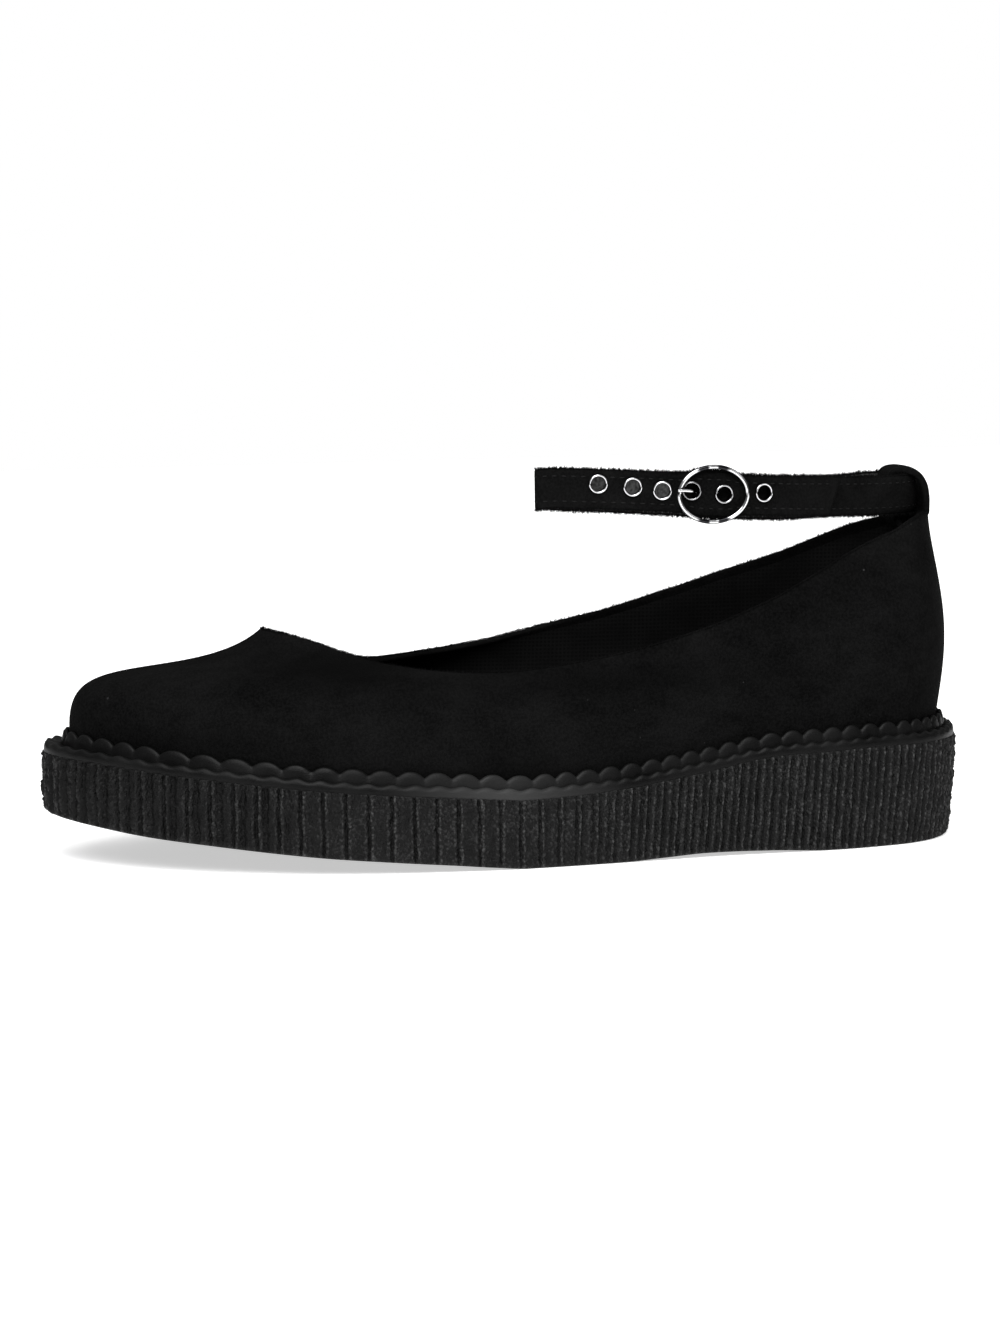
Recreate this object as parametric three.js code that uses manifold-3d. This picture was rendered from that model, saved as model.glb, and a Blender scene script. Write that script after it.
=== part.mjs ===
// Creeper shoe for the left foot: a suede ankle-strap pump on a thick ribbed rubber platform.
// Millimetres, +Z up. The toe points to -X and the outer side of the foot faces -Y.
// The origin is on the floor, under the middle of the shoe's outline.
import * as THREE from "three";
import { mergeVertices } from "three/addons/utils/BufferGeometryUtils.js";
import Module from "manifold-3d";

// Main sizes of the shoe
const LENGTH = 271;
const BALL_WIDTH = 97;
const FORE_HEIGHT = 20; // sole thickness under the ball
const HEEL_HEIGHT = 30; // sole thickness under the heel
const TOE_SPRING = 14;
const ARCH_HEIGHT = 1.2;
const COUNTER_HEIGHT = 63.5; // back of the collar above the top of the sole
const CLEARANCE = 0.3; // gap between pieces that touch
const MIDDLE_LINE = -1.1; // side shift that sets the origin under the middle of the outline
const WAIST_START = 0.45; // where the patterns round the sole leave the forefoot's pitch
const WAIST_END = 0.66; // and where they have reached the heel's pitch

// Ribbed platform
const RIB_PITCH_FORE = 6.8;
const RIB_PITCH_HEEL = 4.7;
const RIB_DEPTH = 0.8;
const SOLE_EDGE = 1.3; // bevel at the floor
const SOLE_SHOULDER = 1; // bevel under the rim band
const RIB_PHASES = [0.04, 0.2, 0.28, 0.96]; // start and end of the groove's floor, then of the rib
const HEEL_UNDERCUT = 2.2;
const UNDERCUT_START = 0.8; // as a share of the length

// Smooth band round the rim of the platform
const BAND_INSET = 0.7;
const BAND_THICKNESS = 2.4;
const BAND_HEIGHT = 3;
const BAND_WAVE = 0.7;
const BAND_PHASES = [0.12, 0.62]; // trough over each groove, crest over each rib

// Scalloped welt strip that stands against the upper
const SHELF_TOE = 7.8; // from the outline to the upper
const SHELF_SIDE = 5.3;
const SHELF_TOE_END = 0.02; // shares of the length between which the shelf narrows
const SHELF_SIDE_START = 0.2;
const WELT_THICKNESS = 1.4;
const WELT_HEIGHT = 6.2;
const SCALLOP_DEPTH = 1.8;
const SCALLOP_PITCH_FORE = 8.3;
const SCALLOP_PITCH_HEEL = 6;
const SCALLOP_PHASES = [0, 0.27, 0.5, 0.73];
const SCALLOP_DIPS = [1, 0.22, 0, 0.22]; // depth at each phase, as a share of the full dip

// Upper and insole
const WALL = 1.8;
const INSOLE_THICKNESS = 2.5;
const THROAT_AT = 0.236; // front of the opening, as a share of the length
const THROAT_JOIN = 0.7; // where the wall's sections stop leaning back to the opening
const BACK_LEAN = 0.028; // how far the collar's back leans in, as a share of the length
const BACK_JOIN = 0.8;

// Ankle strap, its eyelets and its heel loop
const STRAP_WIDTH = 11.4;
const STRAP_THICKNESS = 1.6;
const STRAP_REACH = 118.9; // from the heel loop to the front fold
const STRAP_SWING = 35; // how far the strap hangs out to the side
const STRAP_RISE = 6.6;
const STRAP_ABOVE_COLLAR = 2.3;
const EYELET_FLANGE = 3;
const EYELET_BORE = 1.8;
const EYELET_WALL = 0.3;
const EYELET_HEAD = 0.5;
const LOOP_WIDTH = 14;
const LOOP_THICKNESS = 1.8;
const LOOP_DEPTH = 13;
const LOOP_OVERHANG = 0.5; // how far it swells out behind the collar
const LOOP_PLAY = 2; // room between the strap and the loop's back
const LOOP_HEIGHT = 16; // above the collar's back
const HEEL_RADIUS = 20; // roundness of the collar's back, seen from above
const STRAP_FRONT_PART = 0.4; // part of the route that the free end and the buckle lie on

// Oval ring buckle
const BUCKLE_LENGTH = 21.5;
const BUCKLE_HEIGHT = 17.1;
const BUCKLE_WIRE = 1.3;
const BUCKLE_BAR = 1;
const PRONG_WIRE = 1;
const PRONG_LEAN = 0.6; // half the length it takes to pass through its eyelet

// How finely the curved pieces are cut
const OUTLINE_SAMPLES = 2400;
const NORMAL_STEP = 0.004;
const UPPER_COLUMNS = 72;
const UPPER_ROWS = 8;
const INSOLE_COLUMNS = 48;
const STRAP_STEPS = 76;
const EYELET_SIDES = 12;
const RING_STEPS = 28;
const RING_SIDES = 8;
const BAR_STEPS = 16;
const BAR_SIDES = 6;
const PRONG_STEPS = 14;
const PRONG_SIDES = 4;
const LOOP_STEPS = 26;
const LOOP_ACROSS = [-1, -0.5, 0, 0.5, 1];
const SEARCH_STEPS = 40;
const MERGE_WITHIN = 1e-4;

// Outline of the sole: its middle line and half its width, as shares of the ball width
const SOLE_OUTLINE = [
  { at: 0, centre: 0.06, half: 0 },
  { at: 0.05, centre: 0.055, half: 0.235 },
  { at: 0.1, centre: 0.05, half: 0.335 },
  { at: 0.2, centre: 0.035, half: 0.445 },
  { at: 0.3, centre: 0.02, half: 0.495 },
  { at: 0.36, centre: 0.01, half: 0.5 },
  { at: 0.45, centre: -0.01, half: 0.475 },
  { at: 0.55, centre: -0.03, half: 0.425 },
  { at: 0.65, centre: -0.035, half: 0.375 },
  { at: 0.75, centre: -0.025, half: 0.345 },
  { at: 0.85, centre: -0.01, half: 0.335 },
  { at: 0.92, centre: 0, half: 0.305 },
  { at: 0.96, centre: 0, half: 0.245 },
  { at: 1, centre: 0, half: 0 },
];

// Side view of the sole: shares of the toe spring, of the arch and of the heel's extra thickness
const SOLE_PROFILE = [
  { at: 0, spring: 1.02, arch: 0, rise: -0.22 },
  { at: 0.05, spring: 0.88, arch: 0, rise: -0.12 },
  { at: 0.11, spring: 0.72, arch: 0, rise: -0.07 },
  { at: 0.17, spring: 0.6, arch: 0, rise: -0.07 },
  { at: 0.235, spring: 0.46, arch: 0, rise: -0.06 },
  { at: 0.3, spring: 0.335, arch: 0, rise: -0.05 },
  { at: 0.366, spring: 0.23, arch: 0, rise: -0.04 },
  { at: 0.42, spring: 0.14, arch: 0, rise: -0.02 },
  { at: 0.465, spring: 0.055, arch: 0, rise: 0 },
  { at: 0.502, spring: 0, arch: 0, rise: 0.015 },
  { at: 0.56, spring: 0, arch: 0, rise: 0.07 },
  { at: 0.61, spring: 0, arch: 0.05, rise: 0.17 },
  { at: 0.65, spring: 0, arch: 0.5, rise: 0.26 },
  { at: 0.7, spring: 0, arch: 1, rise: 0.41 },
  { at: 0.77, spring: 0, arch: 0.7, rise: 0.77 },
  { at: 0.84, spring: 0, arch: 0, rise: 0.94 },
  { at: 0.91, spring: 0, arch: 0, rise: 1 },
  { at: 1, spring: 0, arch: 0, rise: 1 },
];

// Collar seen from above, from the throat (0) to its back (1), and half its width as a share of
// the ball width
const COLLAR_PLAN = [
  { along: 0, half: 0 },
  { along: 0.02, half: 0.085 },
  { along: 0.06, half: 0.15 },
  { along: 0.115, half: 0.2 },
  { along: 0.17, half: 0.24 },
  { along: 0.292, half: 0.286 },
  { along: 0.43, half: 0.3 },
  { along: 0.566, half: 0.295 },
  { along: 0.7, half: 0.275 },
  { along: 0.839, half: 0.25 },
  { along: 0.934, half: 0.2 },
  { along: 0.975, half: 0.135 },
  { along: 1, half: 0 },
];

// Height of the collar above the sole, outer and inner side, as shares of the counter's height
const COLLAR_HEIGHT = [
  { at: 0.236, outer: 0.632, inner: 0.632 },
  { at: 0.26, outer: 0.632, inner: 0.606 },
  { at: 0.28, outer: 0.622, inner: 0.58 },
  { at: 0.32, outer: 0.582, inner: 0.522 },
  { at: 0.36, outer: 0.548, inner: 0.495 },
  { at: 0.43, outer: 0.53, inner: 0.54 },
  { at: 0.5, outer: 0.55, inner: 0.605 },
  { at: 0.57, outer: 0.576, inner: 0.658 },
  { at: 0.64, outer: 0.602, inner: 0.694 },
  { at: 0.7, outer: 0.63, inner: 0.73 },
  { at: 0.77, outer: 0.688, inner: 0.772 },
  { at: 0.82, outer: 0.783, inner: 0.824 },
  { at: 0.87, outer: 0.889, inner: 0.894 },
  { at: 0.91, outer: 0.952, inner: 0.952 },
  { at: 0.945, outer: 0.99, inner: 0.988 },
  { at: 0.972, outer: 1, inner: 1 },
];

// Sections of the upper between its foot and the collar: three steps of a smooth wall, each as a
// share of the way in to the collar and of the way up to it, and how far the wall swells outwards
const UPPER_SECTIONS = [
  { at: 0, in1: 0, up1: 0.69, in2: 0.2, up2: 0.62, in3: 0.75, up3: 0.56, swell: 0 },
  { at: 0.08, in1: 0, up1: 0.63, in2: 0.18, up2: 0.68, in3: 0.7, up3: 0.63, swell: 0.01 },
  { at: 0.2, in1: 0, up1: 0.5, in2: 0.14, up2: 0.8, in3: 0.62, up3: 0.82, swell: 0.02 },
  { at: 0.32, in1: 0, up1: 0.4, in2: 0.12, up2: 0.8, in3: 0.52, up3: 0.96, swell: 0.03 },
  { at: 0.45, in1: 0.05, up1: 0.3, in2: 0.2, up2: 0.62, in3: 0.55, up3: 0.88, swell: 0.05 },
  { at: 0.6, in1: 0.15, up1: 0.25, in2: 0.4, up2: 0.52, in3: 0.7, up3: 0.78, swell: 0.06 },
  { at: 0.8, in1: 0.25, up1: 0.25, in2: 0.5, up2: 0.5, in3: 0.75, up3: 0.75, swell: 0.08 },
  { at: 1, in1: 0.25, up1: 0.25, in2: 0.5, up2: 0.5, in3: 0.75, up3: 0.75, swell: 0.12 },
];
const SWELL_WEIGHTS = [0.4, 1, 0];

// Route of the strap, from its free end through the buckle, round the front fold, back along the
// inner side, through the heel loop and forward to the buckle's bar. Each step is a share of the
// reach, of the swing and of the rise, and says how many layers out it lies.
const STRAP_ROUTE = [
  { reach: 0.22, swing: 0.56, rise: 0.13, layer: 1 },
  { reach: 0.32, swing: 0.74, rise: 0.28, layer: 1 },
  { reach: 0.42, swing: 0.89, rise: 0.42, layer: 1 },
  { reach: 0.5, swing: 0.96, rise: 0.53, layer: 1 },
  { reach: 0.6, swing: 1, rise: 0.66, layer: 0.9 },
  { reach: 0.7, swing: 1, rise: 0.78, layer: 0.2 },
  { reach: 0.85, swing: 1, rise: 0.94, layer: 0 },
  { reach: 0.97, swing: 1, rise: 1.05, layer: 0 },
  { reach: 0.993, swing: 0.985, rise: 1.06, layer: 0 },
  { reach: 0.993, swing: 0.925, rise: 1.06, layer: 0 },
  { reach: 0.96, swing: 0.89, rise: 0.92, layer: 0 },
  { reach: 0.85, swing: 0.74, rise: 0.73, layer: 0 },
  { reach: 0.7, swing: 0.52, rise: 0.45, layer: 0 },
  { reach: 0.5, swing: 0.22, rise: 0.04, layer: 0 },
  { reach: 0.3, swing: -0.17, rise: -0.27, layer: 0 },
  { reach: 0.2, swing: -0.29, rise: -0.2, layer: 0 },
  { reach: 0.1, swing: -0.3, rise: -0.04, layer: 0 },
  { reach: 0.03, swing: -0.18, rise: 0, layer: 0 },
  { reach: 0, swing: 0, rise: 0, layer: 0 },
  { reach: 0.03, swing: 0.17, rise: 0, layer: 0 },
  { reach: 0.09, swing: 0.31, rise: 0.02, layer: 0 },
  { reach: 0.2, swing: 0.52, rise: 0.12, layer: 0 },
  { reach: 0.32, swing: 0.74, rise: 0.28, layer: 0 },
  { reach: 0.42, swing: 0.89, rise: 0.42, layer: 0 },
  { reach: 0.53, swing: 0.975, rise: 0.56, layer: 0 },
];

// Eyelets on the strap's outer band, from the front: how far each is from the heel loop as a share
// of the reach, and how far above the strap's middle as a share of its width
const EYELETS = [
  { at: 0.846, up: 0.14 },
  { at: 0.762, up: 0.09 },
  { at: 0.689, up: 0.03 },
  { at: 0.619, up: 0.06 },
  { at: 0.541, up: 0.01 },
  { at: 0.441, up: 0.08 },
];
const PRONG_EYELET = 3;
const BUCKLE_AT = 0.569;

// Route of the heel loop, from its rear leg up, over the strap and down its front leg: how far
// forward of its back as a share of its depth, how far above the collar as a share of its height
const LOOP_ROUTE = [
  { forward: 0.223, up: -0.562 },
  { forward: 0.223, up: -0.061 },
  { forward: 0.203, up: 0.035 },
  { forward: 0.101, up: 0.089 },
  { forward: 0.011, up: 0.131 },
  { forward: 0, up: 0.206 },
  { forward: 0, up: 0.6 },
  { forward: 0.08, up: 0.86 },
  { forward: 0.431, up: 0.944 },
  { forward: 0.79, up: 0.884 },
  { forward: 0.862, up: 0.6 },
  { forward: 0.812, up: 0.25 },
  { forward: 0.642, up: -0.056 },
  { forward: 0.454, up: -0.253 },
  { forward: 0.385, up: -0.394 },
  { forward: 0.385, up: -0.562 },
];

const rubber = new THREE.MeshStandardMaterial({ color: 0x262626, roughness: 0.65 });
const weltRubber = new THREE.MeshStandardMaterial({ color: 0x2e2e2e, roughness: 0.6 });
const suede = new THREE.MeshStandardMaterial({ color: 0x101010, roughness: 1 });
const lining = new THREE.MeshStandardMaterial({ color: 0x3a3a3a, roughness: 0.9 });
const chrome = new THREE.MeshStandardMaterial({ color: 0xd8d8d8, roughness: 0.15, metalness: 1 });

// A smooth curve through a table's column that never swings past its rows
function smoothColumn(rows, key, column, warp = (v) => v) {
  const xs = rows.map((row) => warp(row[key]));
  const ys = rows.map((row) => row[column]);
  const steps = xs.slice(1).map((x, i) => x - xs[i]);
  const slopes = steps.map((step, i) => (ys[i + 1] - ys[i]) / step);
  const tangents = ys.map((_, i) => {
    if (i === 0) return slopes[0];
    if (i === ys.length - 1) return slopes[i - 1];
    if (slopes[i - 1] * slopes[i] <= 0) return 0;
    const before = 2 * steps[i] + steps[i - 1];
    const after = steps[i] + 2 * steps[i - 1];
    return (before + after) / (before / slopes[i - 1] + after / slopes[i]);
  });
  return (value) => {
    const x = THREE.MathUtils.clamp(warp(value), xs[0], xs[xs.length - 1]);
    let i = 0;
    while (i < steps.length - 1 && x > xs[i + 1]) i += 1;
    const t = (x - xs[i]) / steps[i];
    const rise = t * t * (3 - 2 * t);
    const bend = steps[i] * t * (1 - t) * ((1 - t) * tangents[i] - t * tangents[i + 1]);
    return ys[i] + rise * (ys[i + 1] - ys[i]) + bend;
  };
}

// Share of the way along a length as an angle, so that a width fades to a round end
const roundEnds = (share) => Math.acos(THREE.MathUtils.clamp(1 - 2 * share, -1, 1));

const centreShare = smoothColumn(SOLE_OUTLINE, "at", "centre");
const halfShare = smoothColumn(SOLE_OUTLINE, "at", "half", roundEnds);
const springShare = smoothColumn(SOLE_PROFILE, "at", "spring");
const archShare = smoothColumn(SOLE_PROFILE, "at", "arch");
const riseShare = smoothColumn(SOLE_PROFILE, "at", "rise");
const openShare = smoothColumn(COLLAR_PLAN, "along", "half", roundEnds);
const outerCollar = smoothColumn(COLLAR_HEIGHT, "at", "outer");
const innerCollar = smoothColumn(COLLAR_HEIGHT, "at", "inner");
const sectionShare = Object.fromEntries(
  Object.keys(UPPER_SECTIONS[0])
    .filter((column) => column !== "at")
    .map((column) => [column, smoothColumn(UPPER_SECTIONS, "at", column)]),
);

const xAt = (at) => (at - 0.5) * LENGTH;
const shareAt = (x) => THREE.MathUtils.clamp(x / LENGTH + 0.5, 0, 1);
const soleBottom = (at) => TOE_SPRING * springShare(at) + ARCH_HEIGHT * archShare(at);
const soleTop = (at) =>
  soleBottom(at) + FORE_HEIGHT + (HEEL_HEIGHT - FORE_HEIGHT) * riseShare(at);

// Blend that goes from 0 at the start to 1 at the end
function ease(value, start, end) {
  const t = THREE.MathUtils.clamp((value - start) / (end - start), 0, 1);
  return t * t * (3 - 2 * t);
}
const foreToHeel = (at) => ease(at, WAIST_START, WAIST_END);
const shelf = (at) =>
  SHELF_TOE + (SHELF_SIDE - SHELF_TOE) * ease(at, SHELF_TOE_END, SHELF_SIDE_START);

// A turn of 0 is the back of the heel, a quarter turn the inner side and half a turn the toe
const turnShare = (turn) => (1 + Math.cos(turn)) / 2;
const turnSide = (turn) => (turn <= Math.PI ? 1 : -1);

function rimPoint(turn) {
  const at = turnShare(turn);
  const y = BALL_WIDTH * (centreShare(at) + turnSide(turn) * halfShare(at));
  return new THREE.Vector2(xAt(at), y + MIDDLE_LINE);
}

function rimNormal(turn) {
  const before = rimPoint((turn - NORMAL_STEP + 2 * Math.PI) % (2 * Math.PI));
  const after = rimPoint((turn + NORMAL_STEP) % (2 * Math.PI));
  const along = after.sub(before).normalize();
  return new THREE.Vector2(along.y, -along.x);
}

// Point of the outline set in by a distance, at a height that follows its own place along the shoe
function insetPoint(turn, inset, heightAt) {
  const point = rimPoint(turn).addScaledVector(rimNormal(turn), -inset);
  const at = shareAt(point.x);
  return new THREE.Vector3(point.x, point.y, heightAt(at));
}

// Turns at which a pattern of a varying pitch repeats round the outline. Each repeat is cut at the
// given phases, and each cut remembers which phase it is.
function patternTurns(pitchAt, phases) {
  const turns = [0];
  const counts = [0];
  let last = rimPoint(0);
  for (let i = 1; i <= OUTLINE_SAMPLES; i += 1) {
    const turn = (2 * Math.PI * i) / OUTLINE_SAMPLES;
    const point = rimPoint(turn % (2 * Math.PI));
    const pitch = pitchAt(turnShare(turn));
    counts.push(counts[i - 1] + point.distanceTo(last) / pitch);
    turns.push(turn);
    last = point;
  }
  const repeats = Math.round(counts[OUTLINE_SAMPLES]);
  const scale = repeats / counts[OUTLINE_SAMPLES];
  const cuts = [];
  let j = 0;
  for (let repeat = 0; repeat < repeats; repeat += 1) {
    for (let phase = 0; phase < phases.length; phase += 1) {
      const wanted = (repeat + phases[phase]) / scale;
      while (counts[j + 1] < wanted) j += 1;
      const share = (wanted - counts[j]) / (counts[j + 1] - counts[j]);
      cuts.push({ turn: turns[j] + share * (turns[j + 1] - turns[j]), phase });
    }
  }
  return cuts;
}

const evenTurns = (count) =>
  Array.from({ length: count }, (_, i) => ({ turn: (2 * Math.PI * i) / count, phase: 0 }));

// Collects rings of points and the faces between them. Rings run from the heel over the inner side.
class Facets {
  constructor() {
    this.points = [];
    this.faces = [];
  }

  ring(cuts, place) {
    return cuts.map((cut) => {
      this.points.push(place(cut));
      return { index: this.points.length - 1, turn: cut.turn };
    });
  }

  // Faces between two rings, which may have different numbers of points
  band(lower, upper) {
    const nextTurn = (ring, i) =>
      i + 1 < ring.length ? ring[i + 1].turn : 2 * Math.PI + ring[0].turn;
    let i = 0;
    let j = 0;
    while (i < lower.length || j < upper.length) {
      const a = lower[i % lower.length].index;
      const b = upper[j % upper.length].index;
      const lowerIsNext = nextTurn(lower, i) <= nextTurn(upper, j);
      const stepLower = j >= upper.length || (i < lower.length && lowerIsNext);
      if (stepLower) {
        this.faces.push(a, lower[(i + 1) % lower.length].index, b);
        i += 1;
      } else {
        this.faces.push(a, upper[(j + 1) % upper.length].index, b);
        j += 1;
      }
    }
  }

  // Faces across a ring, from one side of the shoe to the other
  cap(ring, upwards) {
    const x = (item) => this.points[item.index].x;
    const toe = ring.reduce((best, item, i) => (x(item) < x(ring[best]) ? i : best), 0);
    const inner = ring.slice(0, toe + 1);
    const outer = [ring[0], ...ring.slice(toe).reverse()];
    let i = 0;
    let j = 0;
    while (i < inner.length - 1 || j < outer.length - 1) {
      const outerIsDone = j >= outer.length - 1;
      const stepInner =
        outerIsDone || (i < inner.length - 1 && x(inner[i + 1]) >= x(outer[j + 1]));
      const face = stepInner
        ? [inner[i].index, inner[i + 1].index, outer[j].index]
        : [outer[j].index, inner[i].index, outer[j + 1].index];
      if (stepInner) i += 1;
      else j += 1;
      if (new Set(face).size < 3) continue;
      if (!upwards) face.reverse();
      this.faces.push(...face);
    }
  }

  geometry() {
    const flat = new Float32Array(this.points.flatMap((p) => [p.x, p.y, p.z]));
    const geometry = new THREE.BufferGeometry();
    geometry.setAttribute("position", new THREE.BufferAttribute(flat, 3));
    geometry.setIndex(this.faces);
    return geometry;
  }
}

// Closed wall that runs round the shoe through four corner rings
function ringWall(corners) {
  const facets = new Facets();
  const rings = corners.map((corner) => facets.ring(corner.cuts, corner.place));
  rings.forEach((ring, i) => facets.band(ring, rings[(i + 1) % rings.length]));
  return facets.geometry();
}

const ribPitch = (at) => RIB_PITCH_FORE + (RIB_PITCH_HEEL - RIB_PITCH_FORE) * foreToHeel(at);

// Platform sole with vertical ribs round its side
function platform() {
  const ribs = patternTurns(ribPitch, RIB_PHASES);
  const plain = ribs.filter((cut) => cut.phase === 2);
  const undercut = (turn) => HEEL_UNDERCUT * ease(turnShare(turn), UNDERCUT_START, 1);
  const ribInset = (cut) => (cut.phase < 2 ? RIB_DEPTH : 0);
  const facets = new Facets();
  const floor = facets.ring(plain, ({ turn }) =>
    insetPoint(turn, SOLE_EDGE + undercut(turn), soleBottom),
  );
  const low = facets.ring(ribs, (cut) =>
    insetPoint(cut.turn, ribInset(cut) + undercut(cut.turn), (at) => soleBottom(at) + SOLE_EDGE),
  );
  const high = facets.ring(ribs, (cut) =>
    insetPoint(cut.turn, ribInset(cut), (at) => soleTop(at) - SOLE_SHOULDER / 2),
  );
  const top = facets.ring(plain, ({ turn }) => insetPoint(turn, SOLE_SHOULDER, soleTop));
  facets.cap(floor, false);
  facets.band(floor, low);
  facets.band(low, high);
  facets.band(high, top);
  facets.cap(top, true);
  return facets.geometry();
}

// Smooth band on the rim of the platform, its top edge gently waved with the ribs
function rimBand() {
  const waves = patternTurns(ribPitch, BAND_PHASES);
  const plain = waves.filter((cut) => cut.phase === 1);
  const foot = (at) => soleTop(at) + CLEARANCE;
  const crest = ({ phase }) => (at) => soleTop(at) + BAND_HEIGHT - (phase === 0 ? BAND_WAVE : 0);
  const wall = (cuts, inset, height) => ({
    cuts,
    place: (cut) => insetPoint(cut.turn, inset, height(cut)),
  });
  const inner = BAND_INSET + BAND_THICKNESS;
  return ringWall([
    wall(plain, BAND_INSET, () => foot),
    wall(waves, BAND_INSET, crest),
    wall(waves, inner, crest),
    wall(plain, inner, () => foot),
  ]);
}

// Strip with a scalloped top edge, between the rim band and the upper
function weltStrip() {
  const pitch = (at) =>
    SCALLOP_PITCH_FORE + (SCALLOP_PITCH_HEEL - SCALLOP_PITCH_FORE) * foreToHeel(at);
  const scallops = patternTurns(pitch, SCALLOP_PHASES);
  const plain = scallops.filter((cut) => cut.phase === 0);
  const foot = (at) => soleTop(at) + CLEARANCE;
  const crest = ({ phase }) => (at) =>
    soleTop(at) + WELT_HEIGHT - SCALLOP_DEPTH * SCALLOP_DIPS[phase];
  const inset = (turn, extra) => shelf(turnShare(turn)) - CLEARANCE - extra;
  const wall = (cuts, extra, height) => ({
    cuts,
    place: (cut) => insetPoint(cut.turn, inset(cut.turn, extra), height(cut)),
  });
  return ringWall([
    wall(plain, WELT_THICKNESS, () => foot),
    wall(scallops, WELT_THICKNESS, crest),
    wall(scallops, 0, crest),
    wall(plain, 0, () => foot),
  ]);
}

// Place on the collar's edge that the upper's section at a turn runs up to
function collarPoint(turn) {
  const at = turnShare(turn);
  const back = 1 - BACK_LEAN;
  const lead = Math.max(0, 1 - at / THROAT_JOIN);
  const lean = Math.max(0, (at - BACK_JOIN) / (1 - BACK_JOIN));
  const own = at + THROAT_AT * lead * lead - BACK_LEAN * lean * lean;
  const half = BALL_WIDTH * openShare((own - THROAT_AT) / (back - THROAT_AT));
  const height = COUNTER_HEIGHT * (turnSide(turn) > 0 ? innerCollar(own) : outerCollar(own));
  const y = BALL_WIDTH * centreShare(own) + turnSide(turn) * half;
  return new THREE.Vector3(xAt(own), y + MIDDLE_LINE, soleTop(own) + height);
}

// Weights of the five control points of a smooth wall, t of the way up it
function sectionWeights(t) {
  const s = 1 - t;
  return [s ** 4, 4 * s ** 3 * t, 6 * s * s * t * t, 4 * s * t ** 3, t ** 4];
}

// Outer surface of the upper: a section at a turn, t of the way from the welt's top to the collar
function upperPoint(turn, t) {
  const at = turnShare(turn);
  const foot = insetPoint(turn, shelf(at), (own) => soleTop(own) + CLEARANCE + WELT_HEIGHT);
  const collar = collarPoint(turn);
  const outward = rimNormal(turn);
  const rise = collar.z - foot.z;
  const controls = [1, 2, 3].map((k) => {
    const point = foot.clone().lerp(collar, sectionShare[`in${k}`](at));
    point.z = foot.z + rise * sectionShare[`up${k}`](at);
    const swell = sectionShare.swell(at) * SWELL_WEIGHTS[k - 1] * rise;
    return point.add(new THREE.Vector3(outward.x * swell, outward.y * swell, 0));
  });
  const weights = sectionWeights(t);
  return [foot, ...controls, collar].reduce(
    (sum, point, k) => sum.addScaledVector(point, weights[k]),
    new THREE.Vector3(),
  );
}

// Hollow upper, open at the collar and underneath
function upper() {
  const columns = evenTurns(UPPER_COLUMNS);
  const foot = ({ turn }) =>
    insetPoint(turn, shelf(turnShare(turn)), (own) => soleTop(own) + CLEARANCE);
  const grid = [columns.map(foot)];
  for (let row = 0; row <= UPPER_ROWS; row += 1) {
    grid.push(columns.map(({ turn }) => upperPoint(turn, row / UPPER_ROWS)));
  }
  const inside = grid.map((points, row) =>
    points.map((point, column) => {
      const around = points[(column + 1) % points.length]
        .clone()
        .sub(points[(column + points.length - 1) % points.length]);
      const above = grid[Math.min(row + 1, grid.length - 1)][column]
        .clone()
        .sub(grid[Math.max(row - 1, 0)][column]);
      if (row === 0) above.set(0, 0, 1);
      return point.clone().addScaledVector(around.cross(above).normalize(), -WALL);
    }),
  );
  const rings = [...grid, ...inside.reverse()].map((points) => ({
    cuts: columns,
    place: (cut) => points[columns.indexOf(cut)],
  }));
  return ringWall(rings);
}

// Insole board that lies inside the upper, on the sole
function insole() {
  const cuts = evenTurns(INSOLE_COLUMNS);
  const facets = new Facets();
  const inset = (turn) => shelf(turnShare(turn)) + WALL + CLEARANCE;
  const bottom = facets.ring(cuts, ({ turn }) =>
    insetPoint(turn, inset(turn), (at) => soleTop(at) + CLEARANCE),
  );
  const top = facets.ring(cuts, ({ turn }) =>
    insetPoint(turn, inset(turn), (at) => soleTop(at) + CLEARANCE + INSOLE_THICKNESS),
  );
  facets.cap(bottom, false);
  facets.band(bottom, top);
  facets.cap(top, true);
  return facets.geometry();
}

// Collar's back, which the heel loop stands on and the strap's height is taken from
const collarBack = collarPoint(0);
const strapBackX =
  collarBack.x + LOOP_OVERHANG - LOOP_THICKNESS - LOOP_PLAY - STRAP_THICKNESS / 2;
const strapMiddle = collarBack.z + STRAP_ABOVE_COLLAR + STRAP_WIDTH / 2;
const LAYER = STRAP_THICKNESS + CLEARANCE;

// Middle line of the strap. The layer's step outwards is taken across its own direction.
function strapLine() {
  const base = STRAP_ROUTE.map(
    ({ reach, swing, rise }) =>
      new THREE.Vector3(
        strapBackX - reach * STRAP_REACH,
        MIDDLE_LINE - swing * STRAP_SWING,
        strapMiddle + rise * STRAP_RISE,
      ),
  );
  const stepped = base.map((point, i) => {
    const before = base[Math.max(i - 1, 0)];
    const after = base[Math.min(i + 1, base.length - 1)];
    const along = after.clone().sub(before).setZ(0).normalize();
    const outwards = new THREE.Vector3(-along.y, along.x, 0);
    if (STRAP_ROUTE[i].layer > 0 && outwards.y > 0) outwards.negate();
    return point.clone().addScaledVector(outwards, STRAP_ROUTE[i].layer * LAYER);
  });
  return new THREE.CatmullRomCurve3(stepped, false, "centripetal");
}
const strapCurve = strapLine();

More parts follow.
